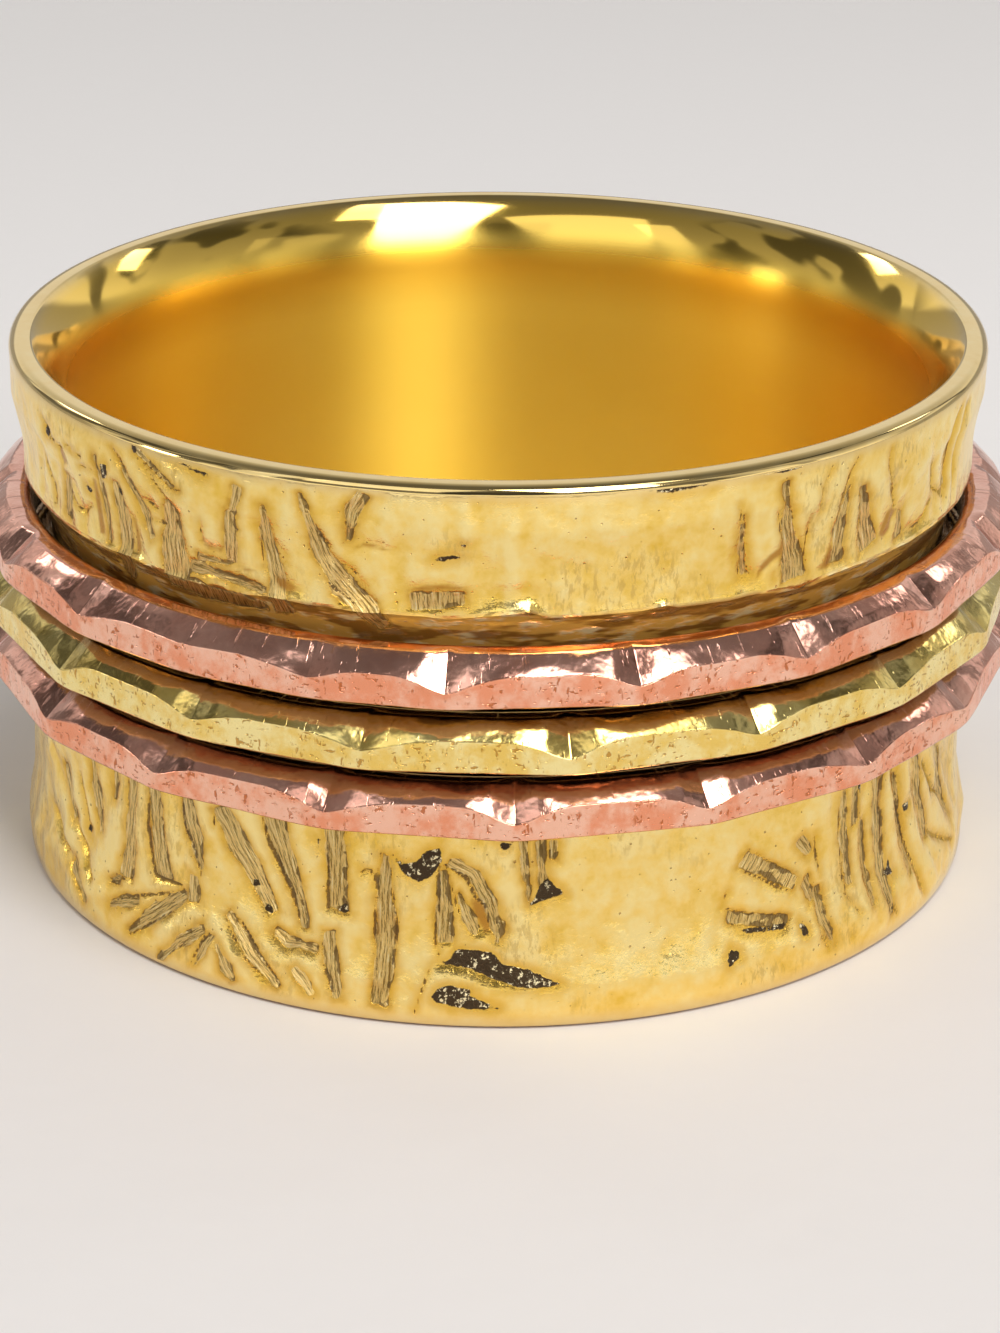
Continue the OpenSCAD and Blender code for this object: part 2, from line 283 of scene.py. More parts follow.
# Fine dark lines: half width, and points of angle and height
LOWER_LINES = [
    (.045, [(-43.8, 4.1), (-44.4, 3.3), (-44.0, 2.6), (-43.2, 2.08), (-41.0, 2.08), (-38.8, 2.12)]),
    (.050, [(-38.9, 4.25), (-38.3, 3.6), (-37.0, 3.1), (-36.0, 2.5)]),
    (.045, [(-34.0, 4.3), (-33.8, 3.85)]),
    (.050, [(-27.2, 4.3), (-26.2, 3.7), (-24.7, 3.2), (-23.4, 2.65), (-22.7, 2.1)]),
    (.035, [(-17.0, 4.3), (-17.1, 3.7)]),
    (.045, [(-17.0, 3.15), (-17.2, 2.7), (-16.5, 2.46)]),
    (.030, [(-19.2, 4.2), (-19.0, 3.2), (-19.2, 2.46), (-17.4, 2.45)]),
    (.030, [(-19.8, 1.95), (-18.2, 1.97)]),
    (.060, [(-19.4, 1.15), (-18.8, .9), (-18.2, .55)]),
    (.028, [(-12.9, 3.95), (-13.3, 3.2), (-13.6, 2.2), (-13.2, 1.2)]),
    (.028, [(-11.8, 3.6), (-11.0, 2.2), (-11.5, 1.3)]),
    (.045, [(-6.5, 4.1), (-6.3, 3.2), (-6.3, 2.6)]),
    (.040, [(-6.3, 3.82), (-4.6, 3.66), (-3.2, 3.5), (-2.2, 3.02), (-1.0, 2.85), (-.5, 2.25)]),
    (.030, [(-5.0, 3.4), (-4.4, 2.9), (-3.9, 2.62)]),
    (.035, [(-6.6, 2.4), (-6.7, 2.0), (-6.1, 1.6)]),
    (.030, [(-15.3, 3.42), (-14.6, 3.5), (-13.9, 3.48), (-13.5, 3.25)]),
    (.040, [(28.8, 3.08), (31.8, 2.73), (34.2, 2.42), (36.6, 2.14)]),
    (.028, [(29.9, 3.56), (33.0, 3.05), (37.1, 2.54)]),
    (.030, [(27.5, 2.65), (26.8, 2.25)]),
    (.030, [(27.2, 2.2), (30.0, 1.98), (35.2, 1.68)]),
    (.030, [(39.9, 3.4), (40.0, 2.9), (40.8, 2.3)]),
    (.030, [(40.1, 1.9), (40.3, .95), (41.6, .58)]),
    (.025, [(43.5, 4.1), (43.9, 3.0), (44.9, 1.6), (46.9, 1.1)]),
    (.030, [(46.0, 3.5), (46.4, 3.1)]),
    (.040, [(51.5, 4.3), (51.6, 3.2), (52.1, 2.3)]),
    (.035, [(51.8, 1.35), (52.3, .95), (54.2, .55)]),
    (.035, [(54.0, 4.35), (56.0, 3.0), (59.0, 1.6), (62.0, .45)]),
    (.035, [(62.5, 3.6), (66.5, 2.6), (71.0, 2.1)]),
    (.030, [(65.0, 4.1), (69.0, 3.3)]),
    (.030, [(64.5, 1.7), (68.0, 1.3), (72.0, .9)]),
    (.030, [(-51.5, 1.45), (-49.5, 1.6), (-47.3, 1.72)]),
    (.035, [(-48.2, 4.1), (-48.3, 3.2)]),
    (.030, [(-51.0, .95), (-46.5, 1.38), (-42.0, 1.72), (-38.6, 2.02)]),
    (.035, [(-47.1, .42), (-43.5, .93), (-40.2, 1.42)]),
    (.030, [(-41.9, .15), (-38.4, .72), (-36.2, 1.12)]),
    (.030, [(-37.2, .3), (-34.9, 1.15), (-33.4, 1.22)]),
    (.035, [(-31.9, 1.95), (-29.8, 1.72), (-26.6, .95), (-24.6, .46)]),
    (.035, [(-31.8, 1.6), (-28.6, .85), (-26.2, .45)]),
    (.030, [(-64.0, 3.4), (-60.0, 2.2), (-55.0, 1.2)]),
    (.028, [(-58.7, 3.4), (-57.2, 2.5)]),
    (.030, [(-67.0, 2.0), (-62.0, 1.35)]),
    (.025, [(-8.9, .3), (-8.0, .9), (-7.0, 1.5)]),
]
UPPER_LINES = [
    (.022, [(-42.9, 12.22), (-39.6, 11.86), (-36.3, 11.5)]),
    (.018, [(-42.7, 12.06), (-39.6, 11.72), (-36.7, 11.44)]),
    (.025, [(-42.0, 11.85), (-39.0, 11.4), (-37.3, 10.95)]),
    (.025, [(-47.3, 12.0), (-44.8, 11.5), (-43.2, 11.0), (-42.0, 10.55)]),
    (.030, [(-42.3, 11.0), (-41.2, 10.95), (-40.2, 10.86)]),
    (.035, [(-41.6, 10.6), (-39.8, 10.6), (-38.4, 10.45)]),
    (.030, [(-34.1, 10.9), (-34.3, 10.4)]),
    (.028, [(-26.6, 10.9), (-26.4, 10.1)]),
    (.025, [(-24.9, 10.8), (-23.4, 10.5)]),
    (.022, [(-24.6, 10.55), (-23.4, 10.3)]),
    (.040, [(-19.9, 11.35), (-19.0, 11.02), (-18.0, 10.84)]),
    (.030, [(-20.9, 11.95), (-20.0, 11.4)]),
    (.030, [(-17.2, 10.5), (-15.6, 10.3), (-14.2, 9.95)]),
    (.030, [(-19.6, 10.2), (-17.6, 9.85), (-15.0, 9.5)]),
    (.020, [(-14.9, 12.0), (-14.6, 11.85)]),
    (.022, [(-16.9, 11.65), (-15.9, 11.35), (-16.1, 11.1)]),
    (.022, [(26.6, 11.6), (27.0, 11.2), (27.8, 10.7), (28.4, 10.15), (29.4, 9.78)]),
    (.018, [(27.3, 10.9), (27.6, 9.95)]),
    (.022, [(31.9, 11.3), (32.5, 10.8), (33.0, 10.5)]),
    (.018, [(36.3, 11.0), (36.4, 10.0), (36.3, 9.62)]),
    (.018, [(32.0, 9.85), (32.3, 9.65)]),
    (.018, [(33.6, 10.2), (33.9, 9.6)]),
    (.018, [(34.9, 10.6), (35.1, 9.55)]),
    (.018, [(38.8, 12.0), (37.6, 11.6), (37.3, 10.9)]),
    (.026, [(42.7, 12.05), (41.1, 11.4), (40.7, 10.7), (40.2, 10.1)]),
    (.018, [(41.4, 10.3), (42.0, 9.7)]),
    (.024, [(43.6, 11.4), (44.2, 10.8), (44.9, 10.1), (45.3, 9.75)]),
    (.018, [(45.8, 10.6), (46.6, 9.9)]),
    (.022, [(48.5, 12.0), (48.4, 11.5), (49.8, 11.0), (50.8, 10.5)]),
    (.026, [(54.0, 9.76), (56.0, 9.7), (58.0, 9.78), (59.5, 10.1)]),
    (.024, [(58.5, 11.0), (60.0, 10.4), (62.5, 10.1)]),
    (.040, [(65.5, 12.1), (63.4, 11.45), (64.2, 10.8), (63.7, 10.0)]),
    (.030, [(67.5, 11.9), (66.3, 11.2), (67.3, 10.2)]),
    (.030, [(-62.5, 11.85), (-60.0, 11.42), (-57.5, 11.32)]),
    (.024, [(-56.3, 11.5), (-53.0, 11.42)]),
    (.030, [(-57.4, 10.35), (-56.6, 10.1), (-54.8, 10.0), (-52.6, 10.3)]),
    (.026, [(-53.5, 11.2), (-51.0, 11.25), (-49.8, 11.15)]),
    (.026, [(-64.0, 10.8), (-62.5, 10.2), (-62.9, 9.7)]),
]

# Soft grooves: depth, half width, and points of angle and height
LOWER_GROOVES = [
    (.060, .30, [(-6.0, 3.75), (-3.4, 3.0), (-1.6, 2.4)]),
    (.050, .25, [(-67.0, 3.5), (-63.5, 2.8), (-60.5, 2.1)]),
    (.050, .22, [(-66.0, 1.8), (-61.0, 1.3), (-56.5, .6)]),
    (.035, .16, [(-64.0, 3.4), (-59.5, 2.1), (-55.0, 1.2)]),
    (.030, .14, [(-58.8, 3.5), (-56.9, 2.3)]),
    (.050, .30, [(-40.3, 4.2), (-39.0, 3.2), (-38.9, 2.4)]),
    (.025, .40, [(9.5, .6), (12.0, 2.0), (15.5, 3.3)]),
    (.020, .35, [(12.0, 4.3), (13.5, 3.0), (14.0, 2.4)]),
    (.018, .30, [(16.0, 4.0), (19.0, 3.0), (20.0, 2.0)]),
    (.020, .45, [(21.0, 3.2), (23.0, 2.0)]),
    (.045, .26, [(42.4, 4.3), (42.8, 2.8), (43.8, 1.5), (45.5, .6)]),
    (.045, .25, [(48.7, 4.3), (48.5, 3.0), (49.2, 1.6), (50.4, .7)]),
    (.055, .28, [(54.0, 4.3), (56.0, 3.0), (59.0, 1.5), (62.0, .4)]),
    (.045, .24, [(58.3, 4.3), (60.2, 3.0), (63.0, 1.7), (66.0, .7)]),
    (.050, .26, [(62.3, 3.8), (66.5, 2.6), (71.0, 2.0)]),
    (.045, .24, [(66.0, 4.2), (70.0, 3.3), (75.0, 2.4)]),
    (.045, .24, [(64.5, 1.8), (68.0, 1.3), (72.0, .8)]),
    (.040, .24, [(71.0, 3.0), (76.0, 1.6)]),
    (.040, .22, [(30.2, 3.9), (34.5, 3.3), (38.5, 2.6), (40.6, 1.9)]),
    (.030, .25, [(25.5, 1.4), (27.2, 2.5), (29.0, 3.6)]),
    (.035, .30, [(-34.6, 3.4), (-34.2, 2.4), (-34.8, 1.6)]),
    (.030, .25, [(-9.6, 3.3), (-9.3, 2.0), (-9.6, .8)]),
    (.030, .25, [(-15.6, 3.0), (-15.4, 1.8), (-15.6, .6)]),
]
UPPER_GROOVES = [
    (.045, .30, [(-12.2, 12.0), (-13.4, 11.5), (-14.6, 11.1)]),
    (.035, .30, [(-19.2, 12.0), (-17.6, 11.6), (-16.6, 11.2)]),
    (.030, .40, [(-2.0, 10.55), (3.0, 10.75), (9.0, 10.5)]),
    (.025, .35, [(15.5, 12.2), (17.0, 11.2), (19.0, 10.2)]),
    (.020, .40, [(5.5, 11.9), (9.0, 11.4), (12.5, 10.9)]),
    (.030, .30, [(-6.0, 9.85), (-1.0, 10.0), (4.0, 10.0)]),
    (.045, .24, [(-60.5, 10.8), (-62.0, 9.7)]),
    (.045, .22, [(-56.0, 10.6), (-54.5, 10.0), (-54.6, 9.5)]),
    (.045, .24, [(-64.5, 11.0), (-67.0, 9.8)]),
    (.045, .24, [(64.8, 12.1), (63.4, 11.4), (64.2, 10.7), (63.7, 9.8)]),
    (.045, .24, [(67.8, 12.0), (66.4, 11.3), (67.3, 10.2), (67.0, 9.6)]),
    (.040, .25, [(57.8, 11.5), (60.0, 10.5), (61.0, 9.7)]),
    (.030, .30, [(38.8, 11.4), (38.5, 10.4), (37.8, 9.8)]),
    (.030, .22, [(30.0, 11.2), (30.4, 10.5)]),
]

# Height where the upper struck wall meets the polished cove, by angle
COVE_EDGE = [
    (-180, .02), (-150, -.04), (-120, .05), (-95, 0), (-75, .03), (-60, -.05), (-50, .02), (-44, .10),
    (-41, -.05),
    (-30, -.03), (-26, .05), (-20, .02), (-14, -.02), (-10, .02), (-5, -.03), (0, .12), (3.5, .22), (6, .02),
    (12, .03), (16, .06), (18.5, .16), (20, .02), (30, 0), (34, -.10), (36, -.20), (38, -.08), (41, .02),
    (44, .06), (47, 0), (60, .05), (75, -.04), (95, .04), (120, -.05), (150, .04), (180, .02)]


def smooth_step(low, high, value):
    """A soft step from 0 at low to 1 at high."""
    share = np.clip((value - low) / (high - low), 0.0, 1.0)
    return share * share * (3.0 - 2.0 * share)


def wrapped(angle, middle):
    """The angle's turn away from a middle angle, between -180 and 180."""
    return (angle - middle + 180.0) % 360.0 - 180.0


def wall_noise(angle, height, cell, seed, stretch=1.0):
    """Smooth noise between -1 and 1 over the unrolled wall, closed round the ring."""
    cells_round = max(4, int(round(360.0 * MM_PER_DEGREE / cell)))
    cells_up = int(16.0 / (cell * stretch)) + 3
    table = np.random.default_rng(seed).uniform(-1.0, 1.0, (cells_round, cells_up))
    across = (angle / 360.0) % 1.0 * cells_round
    up = np.clip(height / (cell * stretch), 0.0, cells_up - 2.001)
    column = np.floor(across).astype(int)
    row = np.floor(up).astype(int)
    share_across = smooth_step(0.0, 1.0, across - column)
    share_up = smooth_step(0.0, 1.0, up - row)
    column = column % cells_round
    next_column = (column + 1) % cells_round
    low = table[column, row] * (1 - share_across) + table[next_column, row] * share_across
    high = table[column, row + 1] * (1 - share_across) + table[next_column, row + 1] * share_across
    return low * (1 - share_up) + high * share_up


def ribbon_places(across, up, line, square_ends):
    """Signed distance to a stroke along a line, and the place across it and along it."""
    best = np.full(across.shape, 9.0)
    best_across = np.zeros(across.shape)
    best_along = np.zeros(across.shape)
    travelled = 0.0
    last_index = len(line) - 2
    for index, (first, second) in enumerate(zip(line[:-1], line[1:])):
        start = np.array(first[:2])
        run = np.array(second[:2]) - start
        length = float(np.hypot(run[0], run[1]))
        way = run / length
        along = (across - start[0]) * way[0] + (up - start[1]) * way[1]
        side = (across - start[0]) * -way[1] + (up - start[1]) * way[0]
        held = np.clip(along, 0.0, length)
        half = first[2] + (second[2] - first[2]) * held / length
        gap = np.hypot(side, along - held) - half
        if square_ends and index == 0:
            gap = np.maximum(gap, -along)
        if square_ends and index == last_index:
            gap = np.maximum(gap, along - length)
        nearer = gap < best
        best = np.where(nearer, gap, best)
        best_across = np.where(nearer, side, best_across)
        best_along = np.where(nearer, travelled + along, best_along)
        travelled += length
    return best, best_across, best_along


def outline_distance(across, up, outline):
    """Signed distance to a closed outline, negative inside."""
    nearest = np.full(across.shape, 9.0)
    inside = np.zeros(across.shape, dtype=bool)
    for first, second in zip(outline, outline[1:] + outline[:1]):
        run_x = second[0] - first[0]
        run_y = second[1] - first[1]
        share = ((across - first[0]) * run_x + (up - first[1]) * run_y) / (run_x * run_x + run_y * run_y)
        share = np.clip(share, 0.0, 1.0)
        beside = np.hypot(across - first[0] - share * run_x, up - first[1] - share * run_y)
        nearest = np.minimum(nearest, beside)
        crosses = (first[1] > up) != (second[1] > up)
        if abs(run_y) > 1e-9:
            inside ^= crosses & (across < first[0] + (up - first[1]) * run_x / run_y)
    return np.where(inside, -nearest, nearest)


def copied_marks(marks, shift, mirror, low, high, wall):
    """Marks between two angles of the front, carried round the ring and turned upside down in their wall."""
    copies = []
    for mark in marks:
        points = mark[-1]
        if low <= sum(point[0] for point in points) / len(points) <= high:
            moved = [((-point[0] if mirror else point[0]) + shift, sum(wall) - point[1]) + tuple(point[2:])
                     for point in points]
            copies.append(tuple(mark[:-1]) + (moved,))
    return copies


def both_walls(lower_marks, upper_marks):
    """The front's marks on both walls, and copies of them for the sides and the back."""
    everywhere = []
    for marks, wall in ((lower_marks, LOWER_WALL), (upper_marks, UPPER_WALL)):
        everywhere += marks
        everywhere += copied_marks(marks, 180.0, True, -58, 58, wall)
        everywhere += copied_marks(marks, -75.0, False, -46, -16, wall)
        everywhere += copied_marks(marks, 60.0, False, 26, 56, wall)
    return everywhere


def carve(angle, height):
    """Relief of the struck walls at each point in millimetres, and the distances to their marks."""
    relief = np.zeros(angle.shape)
    deepest = np.zeros(angle.shape)
    edge_gap = np.full(angle.shape, FAR_FROM_EDGE)
    fields = {key: np.full(angle.shape, FAR_FROM_MARK) for key in ("stroke", "pit", "line", "amber_shade")}
    fields["across"] = np.zeros(angle.shape)
    fields["along"] = np.zeros(angle.shape)

    def near(points, reach):
        """The points of the wall within reach of a mark, and both in millimetres round its middle."""
        angles = [point[0] for point in points]
        heights = [point[1] for point in points]
        middle = 0.5 * (min(angles) + max(angles))
        half = 0.5 * (max(angles) - min(angles)) + reach / MM_PER_DEGREE
        chosen = np.abs(wrapped(angle, middle)) < half
        chosen &= (height > min(heights) - reach) & (height < max(heights) + reach)
        index = np.nonzero(chosen)
        across = wrapped(angle[index], middle) * MM_PER_DEGREE
        flat = [((point[0] - middle) * MM_PER_DEGREE, point[1]) + tuple(point[2:]) for point in points]
        return index, across, height[index], flat

    def cut(index, gap, depth, outside, inside, apart=0.0):
        """Sink a mark's floor to its depth, between a distance outside its edge and one inside."""
        deepest[index] = np.maximum(deepest[index], depth * smooth_step(outside, inside, gap))
        edge_gap[index] = np.minimum(edge_gap[index], np.abs(gap) + apart)

    for runs_across, marks in ((False, both_walls(LOWER_COMBS, UPPER_COMBS)),
                               (True, both_walls(LOWER_CROSS_COMBS, UPPER_CROSS_COMBS))):
        for depth, points in marks:
            index, across, up, flat = near(points, 0.8)
            gap, side, along = ribbon_places(across, up, flat, True)
            fine_wobble = 0.030 * wall_noise(angle[index], up, 0.11, 31)
            gap = gap + fine_wobble + 0.055 * wall_noise(angle[index], up, 0.42, 32)
            cut(index, gap, COMB_FLOOR * depth, 0.03, -0.07)
            if runs_across:
                side, along = along, side
            nearer = gap < fields["stroke"][index]
            for key, value in (("stroke", gap), ("across", side), ("along", along)):
                fields[key][index] = np.where(nearer, value, fields[key][index])

    for key, marks in (("pit", both_walls(LOWER_PITS, UPPER_PITS)),
                       ("amber_shade", both_walls(LOWER_AMBER_SHADE, UPPER_AMBER_SHADE))):
        for depth, points in marks:
            index, across, up, flat = near(points, 0.5)
            gap = outline_distance(across, up, flat) + 0.015 * wall_noise(angle[index], up, 0.08, 33)
            cut(index, gap, PIT_FLOOR * depth, 0.05, -0.10)
            fields[key][index] = np.minimum(fields[key][index], gap)

    # A fine line tapers to both ends
    for half, points in both_walls(LOWER_LINES, UPPER_LINES):
        halves = [0.35 * half] + [half] * (len(points) - 2) + [0.35 * half]
        index, across, up, flat = near([point + (thick,) for point, thick in zip(points, halves)], 0.5)
        gap = ribbon_places(across, up, flat, False)[0] + 0.014 * wall_noise(angle[index], up, 0.12, 34)
        cut(index, gap, LINE_FLOOR, 0.05, -0.03, 0.05)
        fields["line"][index] = np.minimum(fields["line"][index], gap)

    for depth, half, points in both_walls(LOWER_GROOVES, UPPER_GROOVES):
        index, across, up, flat = near([point + (0.0,) for point in points], half + 0.1)
        share = np.clip(ribbon_places(across, up, flat, False)[0] / half, 0.0, 1.0)
        relief[index] -= depth * (1.0 - share * share) ** 2

    # The metal sinks a little beside each mark, and is pillowy between them outside the calm places
    relief -= deepest + 0.016 * np.exp(-edge_gap / 0.07) + 0.050 * np.exp(-edge_gap / 0.24)
    calm = sum(np.exp(-(wrapped(angle, middle) / CALM_WIDTH) ** 4) for middle in CALM_ANGLES)
    leaning = angle + 7.0 * np.sin(np.radians(2.0 * angle)) * (height - 2.3) / 2.3
    bars = wall_noise(leaning, height + 0.6 * np.sin(np.radians(17.0 * angle)), 0.62, 44, 4.2)
    relief += 0.045 * (1.0 - 0.75 * calm) * bars
    bent = height + 0.45 * np.sin(np.radians(11.0 * angle)) + 0.25 * np.sin(np.radians(26.0 * angle))
    relief += 0.045 * wall_noise(angle + 4.0 * height, bent, 1.7, 41, 1.3)
    relief += 0.026 * wall_noise(angle - 5.0 * height, bent, 0.75, 42, 1.3)
    relief += 0.008 * wall_noise(angle + height, bent, 0.25, 43, 1.2)
    fields["hollow_shade"] = hollows(relief)
    return relief, fields


def hollows(relief):
    """How far each point lies below the wall round it, 1 deep in hollows and -1 on ridges, used for painted
    shade and painted highlight.
    """
    around = relief
    for reach_up, reach_across in ((3, 4), (4, 6), (4, 6)):
        spread = around.copy()
        for shift in range(1, reach_across + 1):
            spread += np.roll(around, shift, axis=1) + np.roll(around, -shift, axis=1)
        around = spread / (2 * reach_across + 1)
        spread = around.copy()
        for shift in range(1, reach_up + 1):
            below = np.concatenate((around[:1].repeat(shift, axis=0), around[:-shift]))
            above = np.concatenate((around[shift:], around[-1:].repeat(shift, axis=0)))
            spread += below + above
        around = spread / (2 * reach_up + 1)
    return np.clip((around - relief) / 0.045, -1.0, 1.0)


def ring_columns(count):
    """Angles round the ring in degrees, closer together over the front."""
    dense = np.linspace(-180.0, 180.0, 7201)
    weight = 1.0 + 1.3 * (1.0 - smooth_step(72.0, 100.0, np.abs(dense)))
    total = np.concatenate(([0.0], np.cumsum(0.5 * (weight[1:] + weight[:-1]))))
    return np.interp(np.arange(count) / count, total / total[-1], dense)


def square_arc_r(rise, run):
    """Radius of an arc that leaves a straight line square on and is off it by rise after run."""
    return (rise * rise + run * run) / (2.0 * rise)


def outer_radius(height):
    """Radius of the band's outer side without its marks, at heights inside the walls."""
    flare_r = square_arc_r(RIM_R - WALL_R, FLARE_H)
    from_end = np.minimum(height, BAND_H - height)
    rise = np.clip(RIM_H + FLARE_H - from_end, 0.0, FLARE_H)
    return WALL_R + flare_r - np.sqrt(flare_r * flare_r - rise * rise)


def cove_radius(height):
    """Radius of the polished cove under the upper struck wall."""
    cove_r = square_arc_r(SHOULDER_R, UPPER_WALL_Z - COVE_Z)
    up = np.clip(height - COVE_Z, 0.0, cove_r * 0.95)
    return CHANNEL_R + cove_r - np.sqrt(cove_r * cove_r - up * up)


class Rows:
    """Closed rows of points round the ring, joined into a skin in the order they are added."""

    def __init__(self, angles):
        self.angles = angles
        self.points = []
        self.marks = []
        self.faces = []
        self.finishes = []
        self.sharp_rows = []
        self.starts = []
        self.count = 0

    def add(self, radius, height, coarse=False, marks=None, finish=0, sharp=False):
        angles = self.angles[::COARSE_STEP if coarse else 1]
        radius = np.broadcast_to(np.asarray(radius, dtype=float), angles.shape)
        height = np.broadcast_to(np.asarray(height, dtype=float), angles.shape)
        turn = np.radians(angles)
        self.points.append(np.stack((radius * np.sin(turn), -radius * np.cos(turn), height), axis=1))
        self.marks.append(marks or {})
        row = (self.count, len(angles))
        self.count += len(angles)
        if self.starts:
            self.join(self.starts[-1], row, finish)
        self.starts.append(row)
        if sharp:
            self.sharp_rows.append(row)

    def join(self, lower, upper, finish):
        low, low_size = lower
        high, high_size = upper
        if low_size == high_size:
            here = np.arange(low_size)
            after = (here + 1) % low_size
            made = np.stack((low + here, low + after, high + after, high + here), axis=1).tolist()
        else:
            made = self.fan(lower, upper) if low_size > high_size else self.fan(upper, lower)
            if low_size < high_size:
                made = [face[::-1] for face in made]
        self.faces.extend(made)
        self.finishes.extend([finish] * len(made))

    def fan(self, fine_row, wide_row):
        """Triangles between a row and one with a third of its points."""
        fine, fine_size = fine_row
        wide, wide_size = wide_row
        made = []
        for place in range(wide_size):
            f = [fine + (COARSE_STEP * place + k) % fine_size for k in range(COARSE_STEP + 1)]
            c = [wide + place, wide + (place + 1) % wide_size]
            made += [(f[0], f[1], c[0]), (f[1], c[1], c[0]), (f[1], f[2], c[1]), (f[2], f[3], c[1])]
        return made

    def close(self, finish=0):
        self.join(self.starts[-1], self.starts[0], finish)

    def build(self, name, materials, defaults):
        """The skin as a mesh, with each mark as a value at its points."""
        mesh = bpy.data.meshes.new(name)
        mesh.from_pydata((np.concatenate(self.points) * MM).tolist(), [], self.faces)
        mesh.polygons.foreach_set("material_index", self.finishes)
        mesh.polygons.foreach_set("use_smooth", [True] * len(mesh.polygons))
        for key, value in defaults.items():
            parts = [np.broadcast_to(np.asarray(marks.get(key, value), dtype=float), (len(row),))
                     for row, marks in zip(self.points, self.marks)]
            layer = mesh.attributes.new(key, "FLOAT", "POINT")
            layer.data.foreach_set("value", np.concatenate(parts).astype(np.float32))
        ends = np.zeros(len(mesh.edges) * 2, dtype=np.int32)
        mesh.edges.foreach_get("vertices", ends)
        ends = ends.reshape(-1, 2)
        sharp = np.zeros(len(mesh.edges), dtype=bool)
        for start, size in self.sharp_rows:
            sharp |= ((ends >= start) & (ends < start + size)).all(axis=1)
        layer = mesh.attributes.new("sharp_edge", "BOOLEAN", "EDGE")
        layer.data.foreach_set("value", sharp)
        for material in materials:
            mesh.materials.append(material)
        mesh.validate()
        mesh.update()
        piece = bpy.data.objects.new(name, mesh)
        bpy.context.scene.collection.objects.link(piece)
        return piece


def arc(centre_r, centre_z, radius, start, end, count):
    """Points on an arc, as pairs of radius and height, from a start angle to an end angle."""
    turn = np.radians(np.linspace(start, end, count))
    return [(centre_r + radius * math.cos(t), centre_z + radius * math.sin(t)) for t in turn]


def mouth_points(count):
    """Lip and mouth of the finger hole, from the outer end of the flat lip inward, with the rim at 0."""
    lean = 2.0
    turn_end = math.degrees(math.atan2(MOUTH_H, lean * (LIP_R - FINGER_R)))
    points = [(LIP_FLAT_R, 0.0)]
    points += arc(MOUTH_EDGE_R, MOUTH_EDGE_ROUND, MOUTH_EDGE_ROUND, 270.0, 270.0 - turn_end, 5)
    first_r, first_z = points[-1]
    for share in np.linspace(0.0, 1.0, count)[1:]:
        inward_r = FINGER_R + (first_r - FINGER_R) * (1.0 - share) ** lean
        points.append((inward_r, first_z + (MOUTH_H - first_z) * share))
    return points


def satin_share(depth):
    """Share of satin finish at a depth below a lip: polished, then half blurred, then satin."""
    return 0.5 * smooth_step(0.50, 1.10, depth) + 0.5 * smooth_step(1.10, 1.95, depth)


def ring_shade_share(depth):
    """Share of the deeper gold, a band of painted shade, at a depth below a lip."""
    return smooth_step(0.90, 1.30, depth) * (1.0 - smooth_step(1.6, 2.9, depth))


